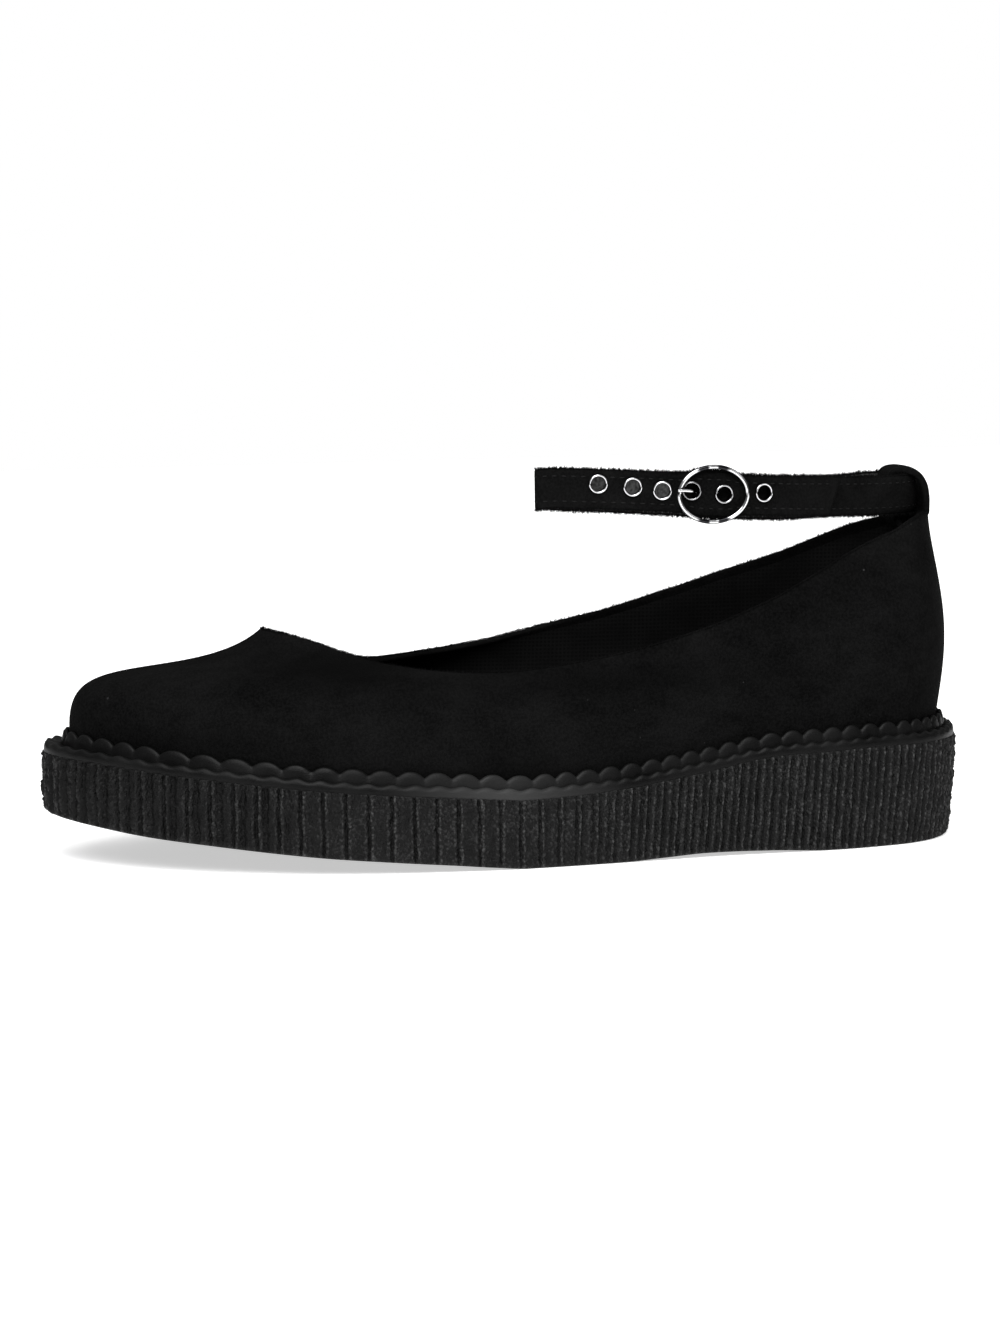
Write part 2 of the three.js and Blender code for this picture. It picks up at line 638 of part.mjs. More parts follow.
// Frame on the strap's outer band at a share of the reach: its place, its direction and its outside
function strapPlace(share, up = 0) {
  const x = strapBackX - share * STRAP_REACH;
  let low = 0;
  let high = STRAP_FRONT_PART;
  for (let i = 0; i < SEARCH_STEPS; i += 1) {
    const middle = (low + high) / 2;
    if (strapCurve.getPoint(middle).x > x) low = middle;
    else high = middle;
  }
  const along = strapCurve.getTangent(low).setZ(0).normalize().negate();
  const outside = new THREE.Vector3(along.y, -along.x, 0);
  const origin = strapCurve.getPoint(low);
  origin.z += up * STRAP_WIDTH;
  return { origin, along, outside };
}

// Turns a piece made with its X along the strap, its Y up and its Z outwards into its place
function placeOnStrap(geometry, place) {
  const up = new THREE.Vector3(0, 0, 1);
  const turned = new THREE.Matrix4().makeBasis(place.along, up, place.outside);
  return geometry.applyMatrix4(turned.setPosition(place.origin));
}

const wasm = await Module();
wasm.setup();

function toSolid(geometry) {
  const bare = new THREE.BufferGeometry();
  bare.setAttribute("position", geometry.getAttribute("position").clone());
  if (geometry.index) bare.setIndex(geometry.index.clone());
  const merged = mergeVertices(bare, MERGE_WITHIN);
  return new wasm.Manifold(
    new wasm.Mesh({
      numProp: 3,
      vertProperties: new Float32Array(merged.attributes.position.array),
      triVerts: new Uint32Array(merged.index.array),
    }),
  );
}

function fromSolid(solid) {
  const mesh = solid.getMesh();
  const geometry = new THREE.BufferGeometry();
  geometry.setAttribute("position", new THREE.BufferAttribute(mesh.vertProperties, 3));
  geometry.setIndex(new THREE.BufferAttribute(mesh.triVerts, 1));
  return geometry;
}

// Flat strap swept along its route, with a hole for each eyelet
function ankleStrap() {
  const corners = [
    [-1, -1],
    [1, -1],
    [1, 1],
    [-1, 1],
  ];
  const points = [];
  const faces = [];
  for (let i = 0; i <= STRAP_STEPS; i += 1) {
    const point = strapCurve.getPointAt(i / STRAP_STEPS);
    const along = strapCurve.getTangentAt(i / STRAP_STEPS).setZ(0).normalize();
    const across = new THREE.Vector3(-along.y, along.x, 0);
    for (const [side, level] of corners) {
      const corner = point.clone().addScaledVector(across, (side * STRAP_THICKNESS) / 2);
      points.push(corner.setZ(point.z + (level * STRAP_WIDTH) / 2));
    }
    if (i === 0) continue;
    const first = 4 * (i - 1);
    for (let k = 0; k < 4; k += 1) {
      const [a, b] = [first + k, first + ((k + 1) % 4)];
      faces.push(a, b, b + 4, a, b + 4, a + 4);
    }
  }
  const end = 4 * STRAP_STEPS;
  faces.push(0, 2, 1, 0, 3, 2, end, end + 1, end + 2, end, end + 2, end + 3);
  const strip = new THREE.BufferGeometry().setFromPoints(points);
  strip.setIndex(faces);
  let solid = toSolid(strip);
  for (const place of EYELETS) {
    const radius = EYELET_BORE + EYELET_WALL + CLEARANCE;
    const depth = STRAP_THICKNESS + CLEARANCE;
    const drill = new THREE.CylinderGeometry(radius, radius, depth, EYELET_SIDES);
    drill.rotateX(Math.PI / 2);
    solid = solid.subtract(toSolid(placeOnStrap(drill, strapPlace(place.at, place.up))));
  }
  return fromSolid(solid);
}

// Metal eyelet: a barrel through the strap with a rolled head on its outside
function eyelet({ at, up }) {
  const face = STRAP_THICKNESS / 2 + CLEARANCE / 2;
  const barrel = EYELET_BORE + EYELET_WALL;
  const profile = [
    [EYELET_BORE, -STRAP_THICKNESS / 2],
    [barrel, -STRAP_THICKNESS / 2],
    [barrel, face],
    [EYELET_FLANGE, face],
    [EYELET_FLANGE - EYELET_WALL, face + EYELET_HEAD],
    [EYELET_BORE, face + EYELET_HEAD],
    [EYELET_BORE, -STRAP_THICKNESS / 2],
  ].map(([radius, height]) => new THREE.Vector2(radius, height));
  const ring = new THREE.LatheGeometry(profile, EYELET_SIDES).rotateX(Math.PI / 2);
  return placeOnStrap(ring, strapPlace(at, up));
}

// Round wire swept along a curve
function wire(curve, diameter, steps, sides) {
  const section = new THREE.Shape().absarc(0, 0, diameter / 2, 0, 2 * Math.PI);
  return new THREE.ExtrudeGeometry(section, {
    steps,
    curveSegments: sides,
    extrudePath: curve,
    bevelEnabled: false,
  });
}

// Height of the ring's wire and of the bar's wire from the middle of the strap's outer layer
const ringLevel = STRAP_THICKNESS / 2 + CLEARANCE + BUCKLE_WIRE / 2;
const barLevel = -(STRAP_THICKNESS / 2 + CLEARANCE + BUCKLE_BAR / 2);

// Oval ring over the strap, with a bar that passes behind the strap's outer layer
function buckleRing() {
  const halfLength = (BUCKLE_LENGTH - BUCKLE_WIRE) / 2;
  const halfHeight = (BUCKLE_HEIGHT - BUCKLE_WIRE) / 2;
  const points = [];
  const faces = [];
  for (let i = 0; i < RING_STEPS; i += 1) {
    const angle = (2 * Math.PI * i) / RING_STEPS;
    const outward = new THREE.Vector2(Math.cos(angle) / halfLength, Math.sin(angle) / halfHeight);
    outward.normalize();
    const here = i * RING_SIDES;
    const next = ((i + 1) % RING_STEPS) * RING_SIDES;
    for (let k = 0; k < RING_SIDES; k += 1) {
      const around = (2 * Math.PI * k) / RING_SIDES;
      const radius = (BUCKLE_WIRE / 2) * Math.cos(around);
      const x = halfLength * Math.cos(angle) + outward.x * radius;
      const y = halfHeight * Math.sin(angle) + outward.y * radius;
      points.push(new THREE.Vector3(x, y, ringLevel + (BUCKLE_WIRE / 2) * Math.sin(around)));
      const beside = (k + 1) % RING_SIDES;
      faces.push(here + k, next + k, here + beside, here + beside, next + k, next + beside);
    }
  }
  const oval = new THREE.BufferGeometry().setFromPoints(points);
  oval.setIndex(faces);
  const leg = STRAP_WIDTH / 2 + CLEARANCE + BUCKLE_BAR / 2;
  const staple = new THREE.CatmullRomCurve3(
    [
      [halfHeight, ringLevel],
      [leg, (ringLevel + barLevel) / 2],
      [leg - BUCKLE_BAR / 2, barLevel],
      [0, barLevel],
      [-leg + BUCKLE_BAR / 2, barLevel],
      [-leg, (ringLevel + barLevel) / 2],
      [-halfHeight, ringLevel],
    ].map(([up, out]) => new THREE.Vector3(0, up, out)),
    false,
    "centripetal",
  );
  const joined = toSolid(oval).add(toSolid(wire(staple, BUCKLE_BAR, BAR_STEPS, BAR_SIDES)));
  return placeOnStrap(fromSolid(joined), strapPlace(BUCKLE_AT));
}

// Prong: from beside the bar, behind the strap, out through an eyelet and over the ring's front rim
function buckleProng() {
  const toEyelet = (EYELETS[PRONG_EYELET].at - BUCKLE_AT) * STRAP_REACH;
  const rim = (BUCKLE_LENGTH - BUCKLE_WIRE) / 2;
  const over = ringLevel + BUCKLE_WIRE / 2 + CLEARANCE + PRONG_WIRE / 2;
  const start = BUCKLE_BAR / 2 + CLEARANCE + PRONG_WIRE / 2;
  const route = new THREE.CatmullRomCurve3(
    [
      [-start, barLevel - CLEARANCE],
      [-toEyelet + 2 * PRONG_LEAN, barLevel - CLEARANCE],
      [-toEyelet + PRONG_LEAN, barLevel / 2],
      [-toEyelet - PRONG_LEAN, over - PRONG_LEAN],
      [-rim + BUCKLE_WIRE, over],
      [-rim - BUCKLE_WIRE / 2, over],
    ].map(([x, out]) => new THREE.Vector3(x, 0, out)),
    false,
    "centripetal",
  );
  const prong = wire(route, PRONG_WIRE, PRONG_STEPS, PRONG_SIDES);
  return placeOnStrap(prong, strapPlace(BUCKLE_AT));
}

// Loop of doubled suede on the heel, which the strap runs through. Its two ends go down together
// inside the collar's back, and above the collar it swells out over its edge.
function heelLoop() {
  const half = LOOP_THICKNESS / 2;
  const rear = collarBack.x + LOOP_OVERHANG - half;
  const line = new THREE.CatmullRomCurve3(
    LOOP_ROUTE.map(
      ({ forward, up }) =>
        new THREE.Vector3(rear - forward * LOOP_DEPTH, 0, collarBack.z + up * LOOP_HEIGHT),
    ),
    false,
    "centripetal",
  );
  const points = [];
  const faces = [];
  const row = 2 * LOOP_ACROSS.length;
  for (let i = 0; i <= LOOP_STEPS; i += 1) {
    const point = line.getPointAt(i / LOOP_STEPS);
    const along = line.getTangentAt(i / LOOP_STEPS);
    const outwards = new THREE.Vector3(along.z, 0, -along.x);
    for (const face of [1, -1]) {
      for (const share of face > 0 ? LOOP_ACROSS : [...LOOP_ACROSS].reverse()) {
        const y = (share * LOOP_WIDTH) / 2;
        const bulge = (-y * y) / (2 * HEEL_RADIUS);
        const corner = point.clone().addScaledVector(outwards, face * half);
        points.push(corner.add(new THREE.Vector3(bulge, y + MIDDLE_LINE, 0)));
      }
    }
    if (i === 0) continue;
    const last = (i - 1) * row;
    for (let k = 0; k < row; k += 1) {
      const [a, b] = [last + k, last + ((k + 1) % row)];
      faces.push(a, b, b + row, a, b + row, a + row);
    }
  }
  // Both cut ends are strips between the two faces' points
  const end = LOOP_STEPS * row;
  for (let k = 0; k < LOOP_ACROSS.length - 1; k += 1) {
    const [a, b, c, d] = [k, k + 1, row - 2 - k, row - 1 - k];
    faces.push(a, c, b, a, d, c);
    faces.push(end + a, end + b, end + c, end + a, end + c, end + d);
  }
  const loop = new THREE.BufferGeometry().setFromPoints(points);
  loop.setIndex(faces);
  return loop;
}

const pieces = [
  ["platform_sole", platform(), rubber],
  ["rim_band", rimBand(), weltRubber],
  ["welt_strip", weltStrip(), weltRubber],
  ["upper", upper(), suede],
  ["insole", insole(), lining],
  ["heel_loop", heelLoop(), suede],
  ["ankle_strap", ankleStrap(), suede],
  ...EYELETS.map((place, i) => [`eyelet_${i + 1}`, eyelet(place), chrome]),
  ["buckle_ring", buckleRing(), chrome],
  ["buckle_prong", buckleProng(), chrome],
];

const shoe = new THREE.Group();
for (const [name, geometry, material] of pieces) {
  const piece = new THREE.Mesh(geometry, material);
  piece.name = name;
  shoe.add(piece);
}

export default shoe;
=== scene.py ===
"""Creeper shoe for the left foot: a black suede ankle-strap pump on a ribbed rubber platform.

Shapes are worked out in millimetres and made in metres. The toe points to -X, the outer side of
the foot with the buckle faces -Y, and +Z is up from the floor.
"""

import logging
import math
from dataclasses import dataclass, field
from enum import Enum
from typing import Callable, Iterable, NamedTuple, Sequence

import bmesh
import bpy
import numpy as np
from mathutils import Matrix, Vector

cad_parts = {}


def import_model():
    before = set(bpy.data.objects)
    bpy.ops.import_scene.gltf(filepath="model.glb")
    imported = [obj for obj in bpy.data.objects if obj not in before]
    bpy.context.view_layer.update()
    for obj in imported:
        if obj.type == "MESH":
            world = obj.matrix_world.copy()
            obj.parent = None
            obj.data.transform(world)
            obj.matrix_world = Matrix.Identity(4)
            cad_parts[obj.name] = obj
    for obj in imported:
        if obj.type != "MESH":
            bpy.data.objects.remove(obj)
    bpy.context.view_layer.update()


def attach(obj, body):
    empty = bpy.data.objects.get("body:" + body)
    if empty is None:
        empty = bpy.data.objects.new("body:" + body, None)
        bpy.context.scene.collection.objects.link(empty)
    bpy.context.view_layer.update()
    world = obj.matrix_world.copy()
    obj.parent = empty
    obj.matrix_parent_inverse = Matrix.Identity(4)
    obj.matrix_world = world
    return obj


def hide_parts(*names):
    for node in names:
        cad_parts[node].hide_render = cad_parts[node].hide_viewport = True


log = logging.getLogger("creeper_shoe")

Piece = bpy.types.Object
Material = bpy.types.Material
Link = bpy.types.NodeSocket

MM = 0.001
FULL_TURN = 2 * math.pi
BODY = "root"

# Main sizes of the shoe, in millimetres
LENGTH = 271.0
BALL_WIDTH = 97.0
FORE_HEIGHT = 20.0
HEEL_HEIGHT = 30.0
TOE_SPRING = 14.0
ARCH_HEIGHT = 1.2
COUNTER_HEIGHT = 63.5
CLEARANCE = 0.3
MIDDLE_LINE = -1.1
WAIST_START = 0.45
WAIST_END = 0.66


class SoleRow(NamedTuple):
    """Middle line of the sole and half its width, as shares of the ball width."""

    at: float
    centre: float
    half: float


class ProfileRow(NamedTuple):
    """Side view of the sole: shares of the toe spring, the arch and the heel's extra thickness."""

    at: float
    spring: float
    arch: float
    rise: float


class PlanRow(NamedTuple):
    """Collar seen from above, from the throat to its back: half its width over the ball width."""

    along: float
    half: float


class CollarRow(NamedTuple):
    """Height of the collar on its outer and inner side, as shares of the counter's height."""

    at: float
    outer: float
    inner: float


class SectionRow(NamedTuple):
    """Steps of a section of the upper: shares of the way in and up, and its outward swell."""

    at: float
    in1: float
    up1: float
    in2: float
    up2: float
    in3: float
    up3: float
    swell: float


class StrapRow(NamedTuple):
    """Step of the strap's route: shares of its reach, swing and rise, and its layer."""

    reach: float
    swing: float
    rise: float
    layer: float


class LoopRow(NamedTuple):
    """Step of the heel loop's route: shares of its depth and of its height over the collar."""

    forward: float
    up: float


class EyeletRow(NamedTuple):
    """Eyelet: shares of the reach from the loop and of the width above the middle; painted dark
    reflection.
    """

    at: float
    up: float
    clouded: float = 0.0


class ShiftRow(NamedTuple):
    """How many repeats a pattern stands further back than an evenly stepped one."""

    at: float
    shift: float


class Hill(NamedTuple):
    """Line across a rib: shares of the rib where it starts, is full, fades and ends; its weight."""

    start: float
    full: float
    fading: float
    end: float
    weight: float = 1.0


class BandRow(NamedTuple):
    """Ring of a rubber band: how far in and up it runs, its shares of the wave and the swell."""

    inward: float
    up: float
    crest: float
    swell: float = 0.0


class SoftBox(NamedTuple):
    """Square soft box: its name, its place and size in metres, and its power in watts."""

    name: str
    spot: tuple[float, float, float]
    size: float
    power: float


class ShadeSpot(NamedTuple):
    """Place where the suede gets a painted shade: its middle, its reach and its depth."""

    x: float
    z: float
    reach: float
    tall: float
    depth: float


def table(kind: type, *rows: tuple[float, ...]) -> list:
    """Returns a table's rows with their columns named."""
    return [kind(*row) for row in rows]


SOLE_OUTLINE = table(
    SoleRow,
    (0, 0.06, 0), (0.05, 0.055, 0.235), (0.1, 0.05, 0.335), (0.2, 0.035, 0.445),
    (0.3, 0.02, 0.495), (0.36, 0.01, 0.5), (0.45, -0.01, 0.475), (0.55, -0.03, 0.425),
    (0.65, -0.035, 0.375), (0.75, -0.025, 0.345), (0.85, -0.01, 0.335), (0.92, 0, 0.305),
    (0.96, 0, 0.245), (1, 0, 0),
)
SOLE_PROFILE = table(
    ProfileRow,
    (0, 1.02, 0, -0.22), (0.05, 0.88, 0, -0.12), (0.11, 0.72, 0, -0.07), (0.17, 0.6, 0, -0.07),
    (0.235, 0.46, 0, -0.06), (0.3, 0.335, 0, -0.05), (0.366, 0.23, 0, -0.04),
    (0.42, 0.14, 0, -0.02), (0.465, 0.055, 0, 0), (0.502, 0, 0, 0.015), (0.56, 0, 0, 0.07),
    (0.61, 0, 0.05, 0.17), (0.65, 0, 0.5, 0.26), (0.7, 0, 1, 0.41), (0.77, 0, 0.7, 0.77),
    (0.84, 0, 0, 0.94), (0.91, 0, 0, 1), (1, 0, 0, 1),
)
RIB_SHIFT = table(
    ShiftRow,
    (0, 0), (0.012, 0.05), (0.05, 0.29), (0.09, 0.52), (0.131, 0.66), (0.208, 0.71),
    (0.258, 0.57), (0.334, 0.41), (0.383, 0.33), (0.431, 0.16), (0.478, -0.05), (0.522, -0.23),
    (0.561, -0.39), (0.597, -0.47), (0.683, -0.49), (0.75, -0.5), (0.788, -0.38), (0.823, -0.3),
    (0.875, -0.19), (0.93, -0.09), (1, 0),
)
SCALLOP_SHIFT = table(
    ShiftRow,
    (0, 0), (0.086, 0), (0.147, 0.3), (0.215, 0.6), (0.28, 0.68), (0.373, 0.66), (0.432, 0.6),
    (0.518, 0.5), (0.564, 0.27), (0.633, 0.3), (0.695, 0.25), (0.737, 0.17), (0.785, 0.35),
    (0.83, 0.45), (0.925, 0.45), (1, 0),
)
COLLAR_PLAN = table(
    PlanRow,
    (0, 0), (0.02, 0.085), (0.06, 0.15), (0.115, 0.2), (0.17, 0.24), (0.292, 0.286), (0.43, 0.3),
    (0.566, 0.295), (0.7, 0.275), (0.839, 0.25), (0.934, 0.2), (0.975, 0.135), (1, 0),
)
COLLAR_HEIGHT = table(
    CollarRow,
    (0.236, 0.632, 0.632), (0.26, 0.632, 0.606), (0.28, 0.622, 0.58), (0.32, 0.582, 0.522),
    (0.36, 0.548, 0.495), (0.43, 0.53, 0.54), (0.5, 0.55, 0.605), (0.57, 0.576, 0.658),
    (0.64, 0.602, 0.694), (0.7, 0.63, 0.73), (0.77, 0.688, 0.772), (0.82, 0.783, 0.824),
    (0.87, 0.889, 0.894), (0.91, 0.952, 0.952), (0.945, 0.99, 0.988), (0.972, 1, 1),
)
UPPER_SECTIONS = table(
    SectionRow,
    (0, 0, 0.69, 0.2, 0.62, 0.75, 0.56, 0), (0.08, 0, 0.63, 0.18, 0.68, 0.7, 0.63, 0.01),
    (0.2, 0, 0.5, 0.14, 0.8, 0.62, 0.82, 0.02), (0.32, 0, 0.4, 0.12, 0.8, 0.52, 0.96, 0.03),
    (0.45, 0.05, 0.3, 0.2, 0.62, 0.55, 0.88, 0.05), (0.6, 0.15, 0.25, 0.4, 0.52, 0.7, 0.78, 0.06),
    (0.8, 0.25, 0.25, 0.5, 0.5, 0.75, 0.75, 0.08), (1, 0.25, 0.25, 0.5, 0.5, 0.75, 0.75, 0.12),
)
STRAP_ROUTE = table(
    StrapRow,
    (0.27, 0.655, 0.21, 1), (0.32, 0.74, 0.28, 1), (0.42, 0.89, 0.42, 1), (0.5, 0.96, 0.53, 1),
    (0.6, 1, 0.66, 0.9), (0.7, 1, 0.78, 0.2), (0.85, 1, 0.94, 0), (0.97, 1, 1.03, 0),
    (0.989, 0.985, 0.99, 0), (0.989, 0.925, 0.98, 0), (0.96, 0.89, 0.92, 0),
    (0.85, 0.74, 0.73, 0), (0.7, 0.52, 0.45, 0), (0.5, 0.22, 0.04, 0), (0.3, -0.17, -0.27, 0),
    (0.2, -0.29, -0.2, 0), (0.1, -0.3, -0.04, 0), (0.03, -0.18, 0, 0), (0, 0, 0, 0),
    (0.03, 0.17, 0, 0), (0.09, 0.31, 0.02, 0), (0.2, 0.52, 0.12, 0), (0.32, 0.74, 0.28, 0),
    (0.42, 0.89, 0.42, 0), (0.53, 0.975, 0.56, 0), (0.6, 1, 0.66, -0.25), (0.66, 1, 0.73, -0.9),
)
LOOP_ROUTE = table(
    LoopRow,
    (0.223, -0.562), (0.223, -0.061), (0.203, 0.035), (0.101, 0.089), (0.011, 0.131), (0, 0.206),
    (0, 0.45), (0.055, 0.67), (0.2, 0.84), (0.45, 0.935), (0.79, 0.884), (0.862, 0.6),
    (0.812, 0.25), (0.642, -0.056), (0.454, -0.253), (0.385, -0.394), (0.385, -0.562),
)
EYELETS = table(
    EyeletRow,
    (0.846, 0.14), (0.762, 0.09), (0.689, 0.03), (0.619, 0.06, 0.6), (0.541, 0.01, 0.35),
    (0.441, 0.08),
)


# Curves, tables and the shoe's outline


def same(value: np.ndarray) -> np.ndarray:
    """Leaves a share as it is."""
    return np.asarray(value, float)


def round_ends(share: np.ndarray) -> np.ndarray:
    """Turns a share of a length into an angle, so that a width fades to a round end."""
    return np.arccos(np.clip(1 - 2 * np.asarray(share, float), -1, 1))


def read_column(rows: Sequence[NamedTuple], name: str) -> np.ndarray:
    """Returns one column of a table."""
    return np.array([getattr(row, name) for row in rows], float)


class SmoothColumn:
    """Smooth curve through one column of a table, which never swings past its rows."""

    def __init__(
        self,
        rows: Sequence[NamedTuple],
        key: str,
        column: str,
        warp: Callable[[np.ndarray], np.ndarray] = same,
    ) -> None:
        """Works out the curve's slopes.

        Args:
            rows: the table.
            key: the column with the places.
            column: the column with the values.
            warp: turns a place into the curve's own measure.
        """
        self.warp = warp
        self.places = warp(read_column(rows, key))
        self.values = read_column(rows, column)
        steps = np.diff(self.places)
        slopes = np.diff(self.values) / steps
        tangents = np.concatenate([slopes[:1], np.zeros(len(slopes) - 1), slopes[-1:]])
        for i in range(1, len(slopes)):
            if slopes[i - 1] * slopes[i] > 0:
                before = 2 * steps[i] + steps[i - 1]
                after = steps[i] + 2 * steps[i - 1]
                weighed = before / slopes[i - 1] + after / slopes[i]
                tangents[i] = (before + after) / weighed
        self.steps = steps
        self.tangents = tangents

    def __call__(self, value: np.ndarray) -> np.ndarray:
        """Reads the curve.

        Args:
            value: one or more places.

        Returns:
            The column's value at each place.
        """
        x = np.clip(self.warp(value), self.places[0], self.places[-1])
        i = np.clip(np.searchsorted(self.places, x, "left") - 1, 0, len(self.steps) - 1)
        t = (x - self.places[i]) / self.steps[i]
        blend = t * t * (3 - 2 * t)
        bend = (1 - t) * self.tangents[i] - t * self.tangents[i + 1]
        jump = self.values[i + 1] - self.values[i]
        return self.values[i] + blend * jump + self.steps[i] * t * (1 - t) * bend


def ease(value: np.ndarray, start: float | np.ndarray, end: float) -> np.ndarray:
    """Returns a blend that goes smoothly from 0 at start to 1 at end."""
    t = np.clip((np.asarray(value, float) - start) / (end - start), 0, 1)
    return t * t * (3 - 2 * t)


def full_circle(count: int) -> np.ndarray:
    """Returns evenly stepped angles of a whole circle."""
    return np.linspace(0, FULL_TURN, count, endpoint=False)


def bump(value: np.ndarray, middle: float, spread: float) -> np.ndarray:
    """Returns a soft hump of height 1 at middle that is gone about two spreads away."""
    return np.exp(-(((np.asarray(value, float) - middle) / spread) ** 2))


def unit(vectors: np.ndarray) -> np.ndarray:
    """Returns vectors of length 1 along the last axis."""
    lengths = np.linalg.norm(vectors, axis=-1, keepdims=True)
    return vectors / np.maximum(lengths, 1e-9)


Height = Callable[[np.ndarray], np.ndarray]


class Last:
    """Outline and side view of the shoe that every piece is set out from, in millimetres.

    A turn of 0 is the back of the heel, a quarter turn the inner side and half a turn the toe.
    """

    normal_step = 0.004
    shelf_toe = 7.8
    shelf_side = 5.3
    shelf_toe_end = 0.02
    shelf_side_start = 0.2

    def __init__(self) -> None:
        """Makes the smooth curves of the tables."""
        self.centre = SmoothColumn(SOLE_OUTLINE, "at", "centre")
        self.half = SmoothColumn(SOLE_OUTLINE, "at", "half", round_ends)
        self.spring = SmoothColumn(SOLE_PROFILE, "at", "spring")
        self.arch = SmoothColumn(SOLE_PROFILE, "at", "arch")
        self.rise = SmoothColumn(SOLE_PROFILE, "at", "rise")

    def x_at(self, at: np.ndarray) -> np.ndarray:
        """Returns the place along the shoe of a share of its length."""
        return (np.asarray(at, float) - 0.5) * LENGTH

    def share_at(self, x: np.ndarray) -> np.ndarray:
        """Returns the share of the length at a place along the shoe."""
        return np.clip(np.asarray(x, float) / LENGTH + 0.5, 0, 1)

    def bottom(self, at: np.ndarray) -> np.ndarray:
        """Returns the height of the sole's underside."""
        return TOE_SPRING * self.spring(at) + ARCH_HEIGHT * self.arch(at)

    def top(self, at: np.ndarray) -> np.ndarray:
        """Returns the height of the sole's top."""
        return self.bottom(at) + FORE_HEIGHT + (HEEL_HEIGHT - FORE_HEIGHT) * self.rise(at)

    def fore_to_heel(self, at: np.ndarray) -> np.ndarray:
        """Returns 0 over the forefoot and 1 over the heel."""
        return ease(at, WAIST_START, WAIST_END)

    def shelf(self, at: np.ndarray) -> np.ndarray:
        """Returns how far the upper stands in from the outline."""
        blend = ease(at, self.shelf_toe_end, self.shelf_side_start)
        return self.shelf_toe + (self.shelf_side - self.shelf_toe) * blend

    def turn_share(self, turn: np.ndarray) -> np.ndarray:
        """Returns the share of the length at a turn."""
        return (1 + np.cos(turn)) / 2

    def side(self, turn: np.ndarray) -> np.ndarray:
        """Returns 1 on the inner side of the foot and -1 on the outer side."""
        return np.where(np.mod(turn, FULL_TURN) <= math.pi, 1.0, -1.0)

    def rim(self, turn: np.ndarray) -> np.ndarray:
        """Sets out the outline.

        Args:
            turn: where round the shoe.

        Returns:
            Its points, seen from above.
        """
        at = self.turn_share(turn)
        y = BALL_WIDTH * (self.centre(at) + self.side(turn) * self.half(at))
        return np.stack([self.x_at(at), y + MIDDLE_LINE], axis=-1)

    def outward(self, turn: np.ndarray) -> np.ndarray:
        """Returns the outline's outward directions, seen from above."""
        along = unit(self.rim(turn + self.normal_step) - self.rim(turn - self.normal_step))
        return np.stack([along[..., 1], -along[..., 0]], axis=-1)

    def inset(self, turn: np.ndarray, inset: np.ndarray, height: Height) -> np.ndarray:
        """Returns points set in from the outline.

        Args:
            turn: where round the shoe.
            inset: how far in.
            height: gives the height at a share of the length.

        Returns:
            Points with their height in the third column.
        """
        distance = np.broadcast_to(np.asarray(inset, float), np.shape(turn))
        flat = self.rim(turn) - self.outward(turn) * distance[..., None]
        z = height(self.share_at(flat[..., 0]))
        return np.concatenate([flat, z[..., None]], axis=-1)

    def above_sole(self, turn: np.ndarray, inset: np.ndarray, up: float) -> np.ndarray:
        """Returns points set in from the outline, a height above the sole's top."""
        return self.inset(turn, inset, lambda at: self.top(at) + CLEARANCE + up)


class Pattern:
    """Repeats of a varying pitch round the outline."""

    samples = 2400

    def __init__(self, last: Last, pitch_fore: float, pitch_heel: float) -> None:
        """Counts the repeats from the back of the heel round the shoe.

        Args:
            last: the shoe's outline.
            pitch_fore: from one repeat to the next at the fore.
            pitch_heel: the same at the heel.
        """
        self.turns = np.linspace(0, FULL_TURN, self.samples + 1)
        rim = last.rim(self.turns)
        steps = np.linalg.norm(np.diff(rim, axis=0), axis=1)
        heel = last.fore_to_heel(last.turn_share(self.turns[1:]))
        pitch = pitch_fore + (pitch_heel - pitch_fore) * heel
        counts = np.concatenate([[0.0], np.cumsum(steps / pitch)])
        self.repeats = round(counts[-1])
        self.counts = counts * self.repeats / counts[-1]

    def columns(self, per_repeat: int) -> tuple[np.ndarray, np.ndarray]:
        """Returns the turns of evenly cut repeats, and each cut's count of repeats."""
        counts = np.arange(self.repeats * per_repeat) / per_repeat
        return np.interp(counts, self.counts, self.turns), counts


def catmull_rom(points: np.ndarray, samples: int) -> np.ndarray:
    """Draws a smooth curve through points.

    Args:
        points: the points in order.
        samples: how many points the curve gets.

    Returns:
        The curve, cut evenly in its own measure.
    """
    first = 2 * points[0] - points[1]
    final = 2 * points[-1] - points[-2]
    padded = np.vstack([first, points, final])
    places = np.linspace(0, len(points) - 1, samples)
    result = []
    for place in places:
        i = min(int(place), len(points) - 2)
        a, b, c, d = padded[i : i + 4]
        gaps = [max(np.linalg.norm(q - p) ** 0.5, 1e-4) for p, q in ((a, b), (b, c), (c, d))]
        leave = (b - a) / gaps[0] - (c - a) / (gaps[0] + gaps[1]) + (c - b) / gaps[1]
        arrive = (c - b) / gaps[1] - (d - b) / (gaps[1] + gaps[2]) + (d - c) / gaps[2]
        leave, arrive = leave * gaps[1], arrive * gaps[1]
        t = place - i
        result.append(
            b
            + leave * t
            + (-3 * b + 3 * c - 2 * leave - arrive) * t * t
            + (2 * b - 2 * c + leave + arrive) * t**3
        )
    return np.array(result)


def even_lengths(line: np.ndarray, count: int) -> np.ndarray:
    """Cuts a line again into even lengths.

    Args:
        line: its points.
        count: how many points it gets.

    Returns:
        The line.
    """
    lengths = np.concatenate([[0.0], np.cumsum(np.linalg.norm(np.diff(line, axis=0), axis=1))])
    wanted = np.linspace(0, lengths[-1], count)
    return np.stack([np.interp(wanted, lengths, line[:, k]) for k in range(3)], axis=1)


# Meshes


